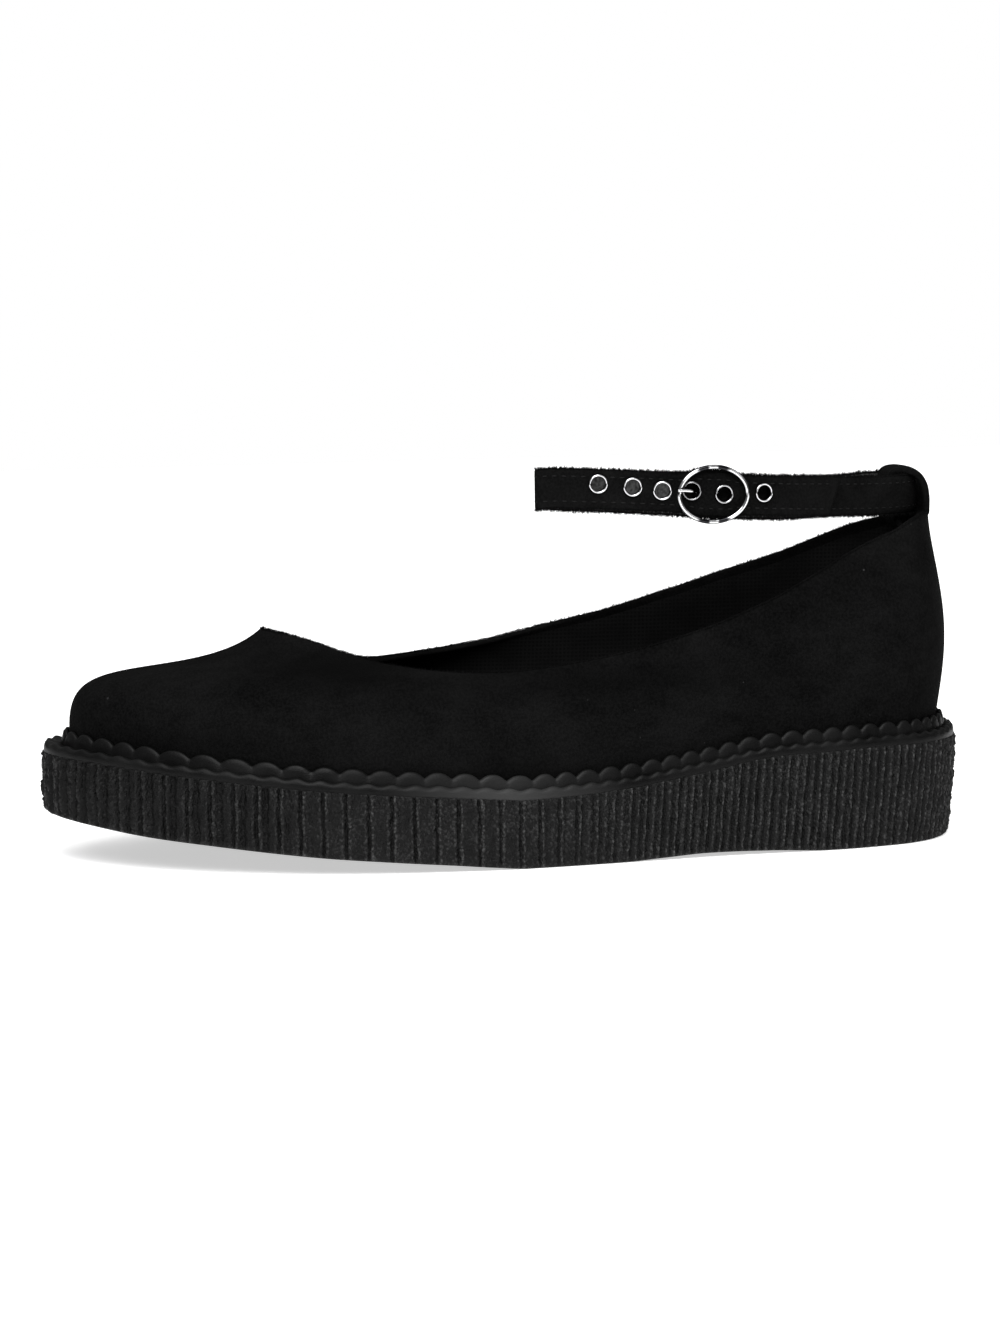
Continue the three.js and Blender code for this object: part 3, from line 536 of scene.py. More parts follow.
def show(name: str, data: bpy.types.ID) -> Piece:
    """Makes an object of its data.

    Args:
        name: its name.
        data: its mesh, light or camera.

    Returns:
        The object, linked to the scene.
    """
    shown = bpy.data.objects.new(name, data)
    bpy.context.scene.collection.objects.link(shown)
    return shown


def make_mesh(
    name: str,
    points: np.ndarray,
    faces: Iterable[Sequence[int]],
    *finishes: Material,
) -> Piece:
    """Makes a smooth-shaded object of points in millimetres.

    Args:
        name: the piece's name.
        points: one row a point.
        faces: corner numbers of each face, seen from outside against the clock.
        finishes: the piece's materials.

    Returns:
        The object, linked to the scene.
    """
    mesh = bpy.data.meshes.new(name)
    mesh.from_pydata((points.reshape(-1, 3) * MM).tolist(), [], [list(face) for face in faces])
    mesh.update()
    mesh.shade_smooth()
    for finish in finishes:
        mesh.materials.append(finish)
    return show(name, mesh)


def grid_faces(rows: int, columns: int, round_rows: bool, round_columns: bool) -> np.ndarray:
    """Makes the four-sided faces of a grid.

    Args:
        rows: rows of its points.
        columns: points of a row.
        round_rows: whether the last row joins the first.
        round_columns: whether each row closes on itself.

    Returns:
        Corner numbers, one row a face.
    """
    r = np.arange(rows if round_rows else rows - 1)
    c = np.arange(columns if round_columns else columns - 1)
    row, column = np.meshgrid(r, c, indexing="ij")
    row, column = row.ravel(), column.ravel()
    next_row, next_column = (row + 1) % rows, (column + 1) % columns
    corners = [(row, column), (row, next_column), (next_row, next_column), (next_row, column)]
    return np.stack([a * columns + b for a, b in corners], axis=1)


def strip_faces(ring: np.ndarray, first: int, upwards: bool) -> list[list[int]]:
    """Closes a ring with faces from its inner side to its outer side.

    Args:
        ring: the ring's points, from the heel over the inner side.
        first: number of its first point in the mesh.
        upwards: whether the faces look up.

    Returns:
        Corner numbers of each face.
    """
    x = ring[:, 0]
    toe = int(np.argmin(x))
    inner = list(range(toe + 1))
    outer = [0] + list(range(len(ring) - 1, toe - 1, -1))
    faces = []
    i = j = 0
    while i < len(inner) - 1 or j < len(outer) - 1:
        inner_left = i < len(inner) - 1
        if j >= len(outer) - 1 or (inner_left and x[inner[i + 1]] >= x[outer[j + 1]]):
            face = [inner[i], inner[i + 1], outer[j]]
            i += 1
        else:
            face = [outer[j], inner[i], outer[j + 1]]
            j += 1
        if len(set(face)) == 3:
            faces.append([first + k for k in (face if upwards else face[::-1])])
    return faces


def stacked_faces(rings: Sequence[np.ndarray]) -> list[list[int]]:
    """Returns the faces of a solid of rings round the shoe, closed below and above.

    Args:
        rings: points of each ring, from the bottom up.

    Returns:
        Corner numbers of each face.
    """
    count = len(rings[0])
    faces = grid_faces(len(rings), count, False, True).tolist()
    faces += strip_faces(rings[0], 0, False)
    return faces + strip_faces(rings[-1], (len(rings) - 1) * count, True)


def capped_faces(steps: int, count: int) -> list[list[int]]:
    """Returns the faces of a tube with flat ends.

    Args:
        steps: sections along the tube.
        count: points of each section.

    Returns:
        Corner numbers of each face.
    """
    faces = grid_faces(steps, count, False, True).tolist()
    last = (steps - 1) * count
    return [*faces, list(range(count))[::-1], list(range(last, last + count))]


def flat_section(
    half: float, reach: float, edge: float, count: int, waist: float, drop: float
) -> list[tuple[float, float]]:
    """Returns the section of a flat strap with rounded edges.

    Args:
        half: half its thickness, below 0 where the section starts on the other face.
        reach: half its width.
        edge: how far in the rounding starts.
        count: points across each face.
        waist: share of the thickness that is left half way round an edge.
        drop: how far that place stands in from the edge.

    Returns:
        Places through and across the strap.
    """
    face = [(half, across) for across in np.linspace(edge - reach, reach - edge, count)]
    side = [(half * waist, reach - drop), (0, reach), (-half * waist, reach - drop)]
    return face + side + [(-through, -across) for through, across in face + side]


def put_attribute(piece: Piece, name: str, values: np.ndarray) -> None:
    """Stores a number or a direction on each point of a piece.

    Args:
        piece: the piece.
        name: the attribute's name.
        values: a number or a direction for each point.
    """
    flat = np.asarray(values, np.float32)
    if flat.ndim > 1 and flat.shape[-1] == 3:
        layer = piece.data.attributes.new(name, "FLOAT_VECTOR", "POINT")
        layer.data.foreach_set("vector", flat.ravel())
    else:
        layer = piece.data.attributes.new(name, "FLOAT", "POINT")
        layer.data.foreach_set("value", flat.ravel())


def settle(piece: Piece) -> None:
    """Turns a piece's modifiers into plain mesh.

    Args:
        piece: the piece.
    """
    depsgraph = bpy.context.evaluated_depsgraph_get()
    mesh = bpy.data.meshes.new_from_object(
        piece.evaluated_get(depsgraph), preserve_all_data_layers=True, depsgraph=depsgraph
    )
    piece.modifiers.clear()
    piece.data = mesh


def hand_over(piece: Piece, slot: str, *nodes: str) -> None:
    """Lets a finished piece ride with the shoe and stand for its solids.

    Args:
        piece: the finished piece.
        slot: not used.
        nodes: solids that it replaces.
    """
    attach(piece, BODY)
    if nodes:
        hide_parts(*nodes)
    log.info("%s: %d faces", piece.name, len(piece.data.polygons))


# Nodes


def add_node(
    tree: bpy.types.NodeTree, kind: str, inputs: dict, **settings: object
) -> bpy.types.Node:
    """Adds a node with its settings, values and links.

    Args:
        tree: the tree it goes in.
        kind: type of the node.
        inputs: a value, or a socket to link, for each input's name or number.
        settings: the node's own settings.

    Returns:
        The node.
    """
    node = tree.nodes.new(kind)
    for name, value in settings.items():
        setattr(node, name, value)
    for key, value in inputs.items():
        if isinstance(value, Link):
            tree.links.new(value, node.inputs[key])
        else:
            node.inputs[key].default_value = value
    return node


def linear(hex_colour: str) -> tuple[float, float, float, float]:
    """Returns an sRGB hex colour in linear light, with full alpha."""
    parts = [int(hex_colour[i : i + 2], 16) / 255 for i in (1, 3, 5)]
    return *(p / 12.92 if p <= 0.04045 else ((p + 0.055) / 1.055) ** 2.4 for p in parts), 1.0


class Socket(Enum):
    """Kinds of named input of a geometry tree."""

    SHAPE = "NodeSocketGeometry"
    NUMBER = "NodeSocketFloat"
    FINISH = "NodeSocketMaterial"


class Recipe:
    """Node tree that a shape or a finish is made by."""

    tree: bpy.types.NodeTree

    def add(self, kind: str, inputs: dict, **settings: object) -> bpy.types.Node:
        """Adds a node to the tree."""
        return add_node(self.tree, kind, inputs, **settings)

    def math(self, operation: str, *values: object) -> Link:
        """Adds one sum and returns its result."""
        return self.add("ShaderNodeMath", dict(enumerate(values)), operation=operation).outputs[0]


class GeometryRecipe(Recipe):
    """Geometry Nodes tree with named inputs, which one piece is made by."""

    def __init__(self, name: str, inputs: dict[str, object]) -> None:
        """Makes the tree with its inputs and its geometry sockets.

        Args:
            name: name of the tree.
            inputs: value of each named input, a number or a material.
        """
        self.tree = bpy.data.node_groups.new(name, "GeometryNodeTree")
        self.values = inputs
        interface = self.tree.interface
        interface.new_socket("Shape", in_out="INPUT", socket_type=Socket.SHAPE.value)
        interface.new_socket("Shape", in_out="OUTPUT", socket_type=Socket.SHAPE.value)
        for key, value in inputs.items():
            kind = Socket.FINISH if isinstance(value, Material) else Socket.NUMBER
            interface.new_socket(key, in_out="INPUT", socket_type=kind.value)
        self.source = self.tree.nodes.new("NodeGroupInput")
        self.target = self.tree.nodes.new("NodeGroupOutput")

    def read(self, name: str, kind: str = "FLOAT") -> Link:
        """Returns a stored number or direction of each point."""
        node = self.add("GeometryNodeInputNamedAttribute", {"Name": name}, data_type=kind)
        return node.outputs["Attribute"]

    def step(self, value: Link, start: float, end: float) -> Link:
        """Returns a soft step of a value from 0 at start to 1 at end."""
        inputs = {0: value, 1: start, 2: end}
        return self.add("ShaderNodeMapRange", inputs, interpolation_type="SMOOTHSTEP").outputs[0]

    def hill(self, value: Link, hill: Hill) -> Link:
        """Returns a hill of height 1 that rises and falls where it says."""
        stay = self.math("SUBTRACT", 1.0, self.step(value, hill.fading, hill.end))
        return self.math("MULTIPLY", self.step(value, hill.start, hill.full), stay)

    def noise(self, size: object, detail: float = 2.0) -> Link:
        """Returns seeded noise from 0 to 1 whose grain has a size in millimetres."""
        inputs = {"Scale": self.math("DIVIDE", 1 / MM, size), "Detail": detail}
        return self.add("ShaderNodeTexNoise", inputs).outputs[0]

    def aimed(self, length: Link) -> Link:
        """Returns each point's outward direction at a length in metres."""
        inputs = {0: self.read("outward", "FLOAT_VECTOR"), "Scale": length}
        return self.add("ShaderNodeVectorMath", inputs, operation="SCALE").outputs[0]

    def moved(self, offset: Link) -> Link:
        """Returns the piece's shape with its points moved."""
        inputs = {"Geometry": self.source.outputs["Shape"], "Offset": offset}
        return self.add("GeometryNodeSetPosition", inputs).outputs[0]

    def stored(self, shape: Link, name: str, value: Link) -> Link:
        """Returns a shape with a number stored on its points."""
        inputs = {"Geometry": shape, "Name": name, "Value": value}
        return self.add("GeometryNodeStoreNamedAttribute", inputs, data_type="FLOAT").outputs[0]

    def laid(self, shape: Link, turn: Link, size: dict) -> Link:
        """Lays copies of a small shape along the piece's lines, a pitch apart.

        Args:
            shape: the small shape.
            turn: how each copy is turned.
            size: how large it is along X, Y and Z.

        Returns:
            The copies.
        """
        given = self.source.outputs
        curve = self.add("GeometryNodeMeshToCurve", {"Mesh": given["Shape"]}).outputs[0]
        inputs = {"Curve": curve, "Length": given["Pitch"]}
        cut = self.add("GeometryNodeResampleCurve", inputs, mode="LENGTH")
        inputs = {
            "Points": cut.outputs[0],
            "Instance": shape,
            "Rotation": turn,
            "Scale": self.add("ShaderNodeCombineXYZ", size).outputs[0],
        }
        return self.add("GeometryNodeInstanceOnPoints", inputs).outputs[0]

    def finish(self, piece: Piece, shape: Link) -> None:
        """Ends the tree, runs it on a piece and leaves plain mesh.

        Args:
            piece: the piece it changes.
            shape: the tree's last geometry.
        """
        real = self.add("GeometryNodeRealizeInstances", {"Geometry": shape})
        dressed = self.add(
            "GeometryNodeSetMaterial",
            {"Geometry": real.outputs[0], "Material": self.source.outputs["Finish"]},
        )
        self.tree.links.new(dressed.outputs[0], self.target.inputs[0])
        modifier = piece.modifiers.new(self.tree.name, "NODES")
        modifier.node_group = self.tree
        for item in self.tree.interface.items_tree:
            if item.in_out == "INPUT" and item.name in self.values:
                modifier[item.identifier] = self.values[item.name]
        settle(piece)


# Finishes


class Surface(Recipe):
    """Material tree with the piece's own coordinates at hand."""

    def __init__(self, name: str) -> None:
        """Makes the empty material.

        Args:
            name: its name.
        """
        self.material = bpy.data.materials.new(name)
        self.material.use_nodes = True
        self.tree = self.material.node_tree
        self.tree.nodes.clear()
        self.place = self.add("ShaderNodeTexCoord", {}).outputs["Object"]

    def read(self, name: str) -> Link:
        """Returns a number stored on the piece's points."""
        return self.add("ShaderNodeAttribute", {}, attribute_name=name).outputs["Fac"]

    def along(self) -> Link:
        """Returns the place along the shoe in metres."""
        return self.add("ShaderNodeSeparateXYZ", {0: self.place}).outputs[0]

    def noise(
        self,
        size_mm: float,
        detail: float = 3.0,
        stretch: tuple[float, float, float] = (1.0, 1.0, 1.0),
    ) -> Link:
        """Adds noise whose grain has a real size.

        Args:
            size_mm: size of the grain.
            detail: finer layers in it.
            stretch: how much longer the grain is along each axis.

        Returns:
            Its value from 0 to 1.
        """
        scale = tuple(1 / (size_mm * MM * s) for s in stretch)
        place = self.add("ShaderNodeMapping", {"Vector": self.place, "Scale": scale}).outputs[0]
        node = self.add("ShaderNodeTexNoise", {"Vector": place, "Scale": 1.0, "Detail": detail})
        return node.outputs[0]

    def pebbles(self, size_mm: float) -> Link:
        """Returns the distance to the nearest of scattered pebbles of a real size."""
        inputs = {"Vector": self.place, "Scale": 1 / (size_mm * MM)}
        return self.add("ShaderNodeTexVoronoi", inputs, feature="SMOOTH_F1").outputs[0]

    def spread(
        self, value: object, low: float, high: float, to_low: float = 0.0, to_high: float = 1.0
    ) -> Link:
        """Returns a value moved from one range to another."""
        inputs = {0: value, 1: low, 2: high, 3: to_low, 4: to_high}
        return self.add("ShaderNodeMapRange", inputs).outputs[0]

    def blend(self, factor: object, low: object, high: object) -> Link:
        """Returns a colour between two others."""
        inputs = {0: factor, 6: low, 7: high}
        return self.add("ShaderNodeMix", inputs, data_type="RGBA").outputs[2]

    def bump(self, height: object, depth_mm: float, under: Link | None = None) -> Link:
        """Adds a surface relief of a real depth.

        Args:
            height: the relief, from 0 to 1.
            depth_mm: its depth.
            under: another relief that it lies on.

        Returns:
            The relief.
        """
        inputs = {"Height": height, "Distance": depth_mm * MM, "Strength": 1.0}
        if under is not None:
            inputs["Normal"] = under
        return self.add("ShaderNodeBump", inputs).outputs[0]

    def shade(self, inputs: dict) -> Material:
        """Ends the material.

        Args:
            inputs: its shader's values and links.

        Returns:
            The material.
        """
        shader = self.add("ShaderNodeBsdfPrincipled", inputs)
        self.add("ShaderNodeOutputMaterial", {"Surface": shader.outputs[0]})
        return self.material


@dataclass(frozen=True)
class Suede:
    """Dyed split suede, brushed: a dead black nap that goes a little grey where it lies over."""

    name: str = "brushed_black_suede"
    deep: str = "#050505"
    brushed: str = "#131313"
    patch_mm: float = 30.0
    streak_mm: float = 4.0
    nap_mm: float = 0.7  # coarser than the real nap of about 0.1 mm, so that it shows
    lint_mm: float = 7.0
    lint: str = "#303030"
    relief_mm: float = 0.2

    def material(self) -> Material:
        """Makes the material.

        Returns:
            The material.
        """
        surface = Surface(self.name)
        patches = surface.spread(surface.noise(self.patch_mm, 4.0), 0.38, 0.66)
        streaks = surface.noise(self.streak_mm, 4.0, (2.0, 1.0, 1.0))
        nap = surface.noise(self.nap_mm, 2.0)
        tone = surface.math("MULTIPLY", patches, 0.4)
        tone = surface.math("MULTIPLY_ADD", surface.spread(streaks, 0.35, 0.65), 0.25, tone)
        tone = surface.math("MULTIPLY_ADD", surface.spread(nap, 0.38, 0.62), 0.4, tone)
        # Painted shade: the stored spots darken the suede
        unshaded = surface.math("SUBTRACT", 1.0, surface.read("spot_shade"))
        tone = surface.math("MULTIPLY", tone, unshaded)
        specks = surface.spread(surface.pebbles(self.lint_mm), 0.03, 0.01)
        base = surface.blend(tone, linear(self.deep), linear(self.brushed))
        relief = surface.bump(surface.noise(self.streak_mm * 2, 3.0), self.relief_mm * 2)
        relief = surface.bump(nap, self.relief_mm, relief)
        return surface.shade({
            "Base Color": surface.blend(specks, base, linear(self.lint)),
            "Roughness": 0.95,
            "Specular IOR Level": 0.02,
            "Sheen Weight": 0.01,
            "Sheen Roughness": 0.45,
            "Sheen Tint": linear("#8a8a8a"),
            "Normal": relief,
        })


@dataclass(frozen=True)
class LiningCloth:
    """Plain-woven textile lining, dark grey, with its threads just showing."""

    name: str = "woven_grey_lining"
    thread_dark: str = "#101010"
    thread_light: str = "#1c1c1c"
    thread_mm: float = 0.6  # coarser than the real 0.3 mm, so that it shows
    relief_mm: float = 0.1

    def material(self) -> Material:
        """Makes the material.

        Returns:
            The material.
        """
        surface = Surface(self.name)
        inputs = {"Vector": surface.place, "Scale": 1 / (self.thread_mm * MM * FULL_TURN)}
        warp = surface.add("ShaderNodeTexWave", inputs, bands_direction="X").outputs[1]
        weft = surface.add("ShaderNodeTexWave", inputs, bands_direction="Z").outputs[1]
        weave = surface.math("MAXIMUM", warp, weft)
        mottle = surface.noise(9.0, 3.0)
        tone = surface.math("MULTIPLY", weave, surface.spread(mottle, 0.3, 0.7, 0.3, 1.0))
        return surface.shade({
            "Base Color": surface.blend(
                tone, linear(self.thread_dark), linear(self.thread_light)
            ),
            "Roughness": 0.9,
            "Specular IOR Level": 0.03,
            "Normal": surface.bump(weave, self.relief_mm / 2),
        })


@dataclass(frozen=True)
class PebbledRubber:
    """Moulded pebbled crepe rubber, charcoal, with painted highlights on ridges and painted shade.
    """

    name: str = "pebbled_crepe_rubber"
    deep: str = "#0a0a0a"
    dusty: str = "#2a2a2a"
    rubbed: str = "#4f4f4f"
    # Colour of the painted shade in the grooves and towards the toe
    hollow: str = "#030303"
    toe_at: float = -135.0  # place along the shoe where the painted shade towards the toe is deepest
    plain_from: float = -35.0
    toe_share: float = 0.2
    sunk_share: float = 0.55
    pebble_mm: float = 0.8
    grain_mm: float = 0.35
    blotch_mm: float = 4.0
    lump_mm: float = 2.2
    relief_mm: float = 0.22

    def material(self) -> Material:
        """Makes the material.

        Returns:
            The material.
        """
        surface = Surface(self.name)
        pebbles = surface.pebbles(self.pebble_mm)
        crumbs = surface.pebbles(self.grain_mm)
        blotches = surface.spread(surface.noise(self.blotch_mm, 4.0, (1, 1, 2.5)), 0.36, 0.66)
        crests = surface.spread(pebbles, 0.5, 0.12)
        dust = surface.math("MULTIPLY", crests, blotches)
        base = surface.blend(dust, linear(self.deep), linear(self.dusty))
        # Painted shade darkens the grooves
        sunk = surface.math("MULTIPLY", surface.read("sunk"), self.sunk_share)
        base = surface.blend(sunk, base, linear(self.hollow))
        # Painted highlight: the pebbles' crests along the ribs' ridges are lightened
        rubbed = surface.spread(crests, 0.0, 0.7, 0.15, 1.0)
        glint = surface.math("MULTIPLY", surface.read("ridge_highlight"), rubbed)
        colour = surface.blend(glint, base, linear(self.rubbed))
        # Painted shade darkens the rubber towards the toe
        start, end = self.toe_at * MM, self.plain_from * MM
        ahead = surface.spread(surface.along(), start, end, self.toe_share)
        lumps = surface.noise(self.lump_mm, 3.0, (1, 1, 1.6))
        relief = surface.bump(lumps, self.relief_mm * 4)
        relief = surface.bump(crests, self.relief_mm, relief)
        relief = surface.bump(surface.math("SUBTRACT", 1.0, crumbs), self.relief_mm / 3, relief)
        return surface.shade({
            "Base Color": surface.blend(ahead, linear(self.hollow), colour),
            "Roughness": surface.spread(blotches, 0, 1, 0.62, 0.46),
            "Specular IOR Level": 0.13,
            "Normal": relief,
        })


@dataclass(frozen=True)
class SmoothRubber:
    """Moulded rim rubber: satin charcoal, with a soft shine, a faint grain and a painted highlight.
    """

    name: str = "satin_rim_rubber"
    deep: str = "#050505"
    dusty: str = "#0d0d0d"
    rubbed: str = "#343434"
    rubbed_at: float = -6.0  # place along the shoe where a painted highlight makes the rim paler
    rubbed_reach: float = 34.0
    grain_mm: float = 0.5
    cloud_mm: float = 12.0
    relief_mm: float = 0.05

    def material(self) -> Material:
        """Makes the material.

        Returns:
            The material.
        """
        surface = Surface(self.name)
        mottle_and_dark_reflection = surface.spread(surface.noise(self.cloud_mm, 4.0), 0.35, 0.65)
        grain = surface.noise(self.grain_mm, 3.0)
        # Painted highlight: the rubber turns paler near one place along the shoe
        reach = surface.math("SUBTRACT", surface.along(), self.rubbed_at * MM)
        away = surface.math("ABSOLUTE", reach)
        near = surface.spread(away, self.rubbed_reach * MM, 0.0)
        base = surface.blend(mottle_and_dark_reflection, linear(self.deep), linear(self.dusty))
        return surface.shade({
            "Base Color": surface.blend(near, base, linear(self.rubbed)),
            "Roughness": surface.spread(mottle_and_dark_reflection, 0, 1, 0.4, 0.52),
            "Specular IOR Level": 0.11,
            "Normal": surface.bump(grain, self.relief_mm),
        })


@dataclass(frozen=True)
class ChromePlate:
    """Bright chrome plate on pressed and drawn metal, with faint rubbing marks."""

    name: str = "bright_chrome_plate"
    bright: str = "#f2f2f4"
    clouded: str = "#2c2c2e"
    scuff_mm: float = 1.4

    def material(self) -> Material:
        """Makes the material.

        Returns:
            The material.
        """
        surface = Surface(self.name)
        scuffs = surface.spread(surface.noise(self.scuff_mm, 4.0), 0.4, 0.7)
        # Painted dark reflection, where the piece's stored mask says
        mottle_and_dark_reflection = surface.read("clouded")
        return surface.shade({
            "Base Color": surface.blend(mottle_and_dark_reflection, linear(self.bright), linear(self.clouded)),
            "Metallic": 1.0,
            "Roughness": surface.spread(scuffs, 0, 1, 0.08, 0.2),
        })


@dataclass(frozen=True)
class SewingThread:
    """Twisted black polyester thread, a little greyer and shinier than the suede."""

    name: str = "black_sewing_thread"
    deep: str = "#0d0d0d"
    light: str = "#1e1e1e"
    twist_mm: float = 0.4

    def material(self) -> Material:
        """Makes the material.

        Returns:
            The material.
        """
        surface = Surface(self.name)
        twist = surface.noise(self.twist_mm, 1.0)
        return surface.shade({
            "Base Color": surface.blend(twist, linear(self.deep), linear(self.light)),
            "Roughness": 0.6,
            "Specular IOR Level": 0.1,
            "Normal": surface.bump(twist, 0.05),
        })


@dataclass(frozen=True)
class SplitBack:
    """Undyed back of the strap's split leather: mid grey, matt and fibrous."""

    name: str = "grey_split_leather_back"
    deep: str = "#262626"
    light: str = "#474747"
    fibre_mm: float = 0.9

    def material(self) -> Material:
        """Makes the material.

        Returns:
            The material.
        """
        surface = Surface(self.name)
        fibres = surface.noise(self.fibre_mm, 4.0)
        tone = surface.spread(fibres, 0.35, 0.65)
        return surface.shade({
            "Base Color": surface.blend(tone, linear(self.deep), linear(self.light)),
            "Roughness": 0.95,
            "Specular IOR Level": 0.05,
            "Normal": surface.bump(fibres, 0.15),
        })


@dataclass(frozen=True)
class StudioPaper:
    """Matt white background paper."""

    name: str = "white_studio_paper"
    white: str = "#f4f4f4"
    glow: float = 0.6  # the paper is lit from behind, so that it stays white far off

    def material(self) -> Material:
        """Makes the material.

        Returns:
            The material.
        """
        surface = Surface(self.name)
        return surface.shade({
            "Base Color": linear(self.white),
            "Roughness": 1.0,
            "Specular IOR Level": 0.0,
            "Emission Color": linear(self.white),
            "Emission Strength": self.glow,
        })


# Sole


@dataclass
class Platform:
    """Ribbed rubber platform under the whole shoe."""

    last: Last
    finish: Material
    rib_pitch_fore: float = 6.8
    rib_pitch_heel: float = 4.7
    cuts_per_rib: int = 16
    wall_rows: int = 36
    edge: float = 1.3
    edge_angles: tuple[float, ...] = (30, 60)
    shoulder: float = 0.5
    undercut: float = 2.2
    undercut_start: float = 0.8
    barrel: float = 0.35
    lean: float = 0.085  # how far the heel's ribs lean back, over their height
    lean_end: float = 0.95
    rim_fade: float = 0.75  # how much of the relief is gone right under the rim
    rim_fade_start: float = 0.975
    toe_end: float = 0.2
    toe_fade: float = 0.1
    line_at: float = 0.17  # share of a rib from its start to its middle line, taken from a half
    groove_depth: float = 1.0
    ridge_height: float = 0.55
    pebble_height: float = 0.38
    pebble_size: float = 1.5
    pebble_low: float = 0.4
    pebble_high: float = 0.62
    wander: float = 0.2
    wander_size: float = 5.0
    fore_groove: Hill = Hill(0.26, 0.34, 0.37, 0.44)
    heel_groove: Hill = Hill(0.16, 0.25, 0.27, 0.36, 0.6)
    second_groove: Hill = Hill(0.6, 0.69, 0.72, 0.81, 0.7)
    toe_groove: Hill = Hill(0.6, 0.7, 0.82, 0.94, 0.9)
    ridge: Hill = Hill(0.41, 0.49, 0.51, 0.59)
    fore_lip: Hill = Hill(0.1, 0.18, 0.22, 0.3, 0.4)
    second_start: float = 0.4  # the heel's second ridge: how far from a rib's middle it starts
    second_full: float = 0.49
    second_weight: float = 0.85
    heel_calm: float = 0.15
    grain_weight: float = 0.6

    def build(self) -> None:
        """Makes the platform with its ribs."""
        pattern = Pattern(self.last, self.rib_pitch_fore, self.rib_pitch_heel)
        turn, count = pattern.columns(self.cuts_per_rib)
        at = self.last.turn_share(turn)
        under = self.undercut * ease(at, self.undercut_start, 1)
        # Each ring's way in, its height and its share of the ribs' relief
        levels: list[tuple[np.ndarray, Height, float]] = [
            (self.edge + under, self.last.bottom, 0.0)
        ]
        for angle in self.edge_angles:
            slant = math.radians(angle)
            inset = self.edge * (1 - math.sin(slant)) + under
            lift = self.edge * (1 - math.cos(slant))
            levels.append((inset, lambda s, lift=lift: self.last.bottom(s) + lift, angle / 90))
        for v in np.linspace(0, 1, self.wall_rows):
            inset = under * (1 - v) - self.barrel * math.sin(math.pi * v)
            relief = 1 - self.rim_fade * ease(v, self.rim_fade_start, 1)
            levels.append((inset, lambda s, v=v: self.wall_height(s, v), relief))
        levels.append((self.shoulder, self.last.top, 0.0))
        rings = [self.last.inset(turn, inset, height) for inset, height, _ in levels]
        heights = np.array([height(at) - self.last.bottom(at) for _, height, _ in levels])
        reliefs = np.array([np.full_like(turn, relief) for _, _, relief in levels])
        piece = make_mesh("ribbed_platform", np.array(rings), stacked_faces(rings))
        heel = self.last.fore_to_heel(at)
        pitch = self.rib_pitch_fore + (self.rib_pitch_heel - self.rib_pitch_fore) * heel
        upright = 1 - ease(at, self.lean_end, 1)
        slant = self.lean * heel * upright * -self.last.side(turn) / pitch
        shift = self.last.side(turn) * SmoothColumn(RIB_SHIFT, "at", "shift")(at)
        ribs = count + shift - slant * (heights - FORE_HEIGHT)
        outward = np.zeros((len(rings), len(turn), 3))
        outward[..., :2] = self.last.outward(turn)
        put_attribute(piece, "ribs", ribs)
        put_attribute(piece, "heel", np.broadcast_to(heel, ribs.shape))
        toe = 1 - ease(at, self.toe_end, self.toe_end + self.toe_fade)
        put_attribute(piece, "toe", np.broadcast_to(toe, ribs.shape))
        put_attribute(piece, "mirror", np.broadcast_to(self.last.side(turn), ribs.shape))
        put_attribute(piece, "relief", reliefs)
        put_attribute(piece, "outward", outward)
        self.cut_ribs(piece)
        hand_over(piece, "sole_rubber", "platform_sole")

    def wall_height(self, at: np.ndarray, v: float) -> np.ndarray:
        """Returns the height of the wall, a share of the way up it."""
        low, high = self.last.bottom(at) + self.edge, self.last.top(at) - self.shoulder / 2
        return low + (high - low) * v

    def cut_ribs(self, piece: Piece) -> None:
        """Presses the ribs, their pebbled ridges and the crepe's pebbles into the wall.

        Args:
            piece: the platform.
        """
        recipe = GeometryRecipe(
            "rib_relief",
            {
                "Groove depth": self.groove_depth,
                "Ridge height": self.ridge_height,
                "Pebble height": self.pebble_height,
                "Pebble size": self.pebble_size,
                "Wander": self.wander,
                "Wander size": self.wander_size,
                "Line place": self.line_at,
                "Finish": self.finish,
            },
        )
        given = recipe.source.outputs
        sway = recipe.math("SUBTRACT", recipe.noise(given["Wander size"]), 0.5)
        wander = recipe.math("MULTIPLY", sway, given["Wander"])
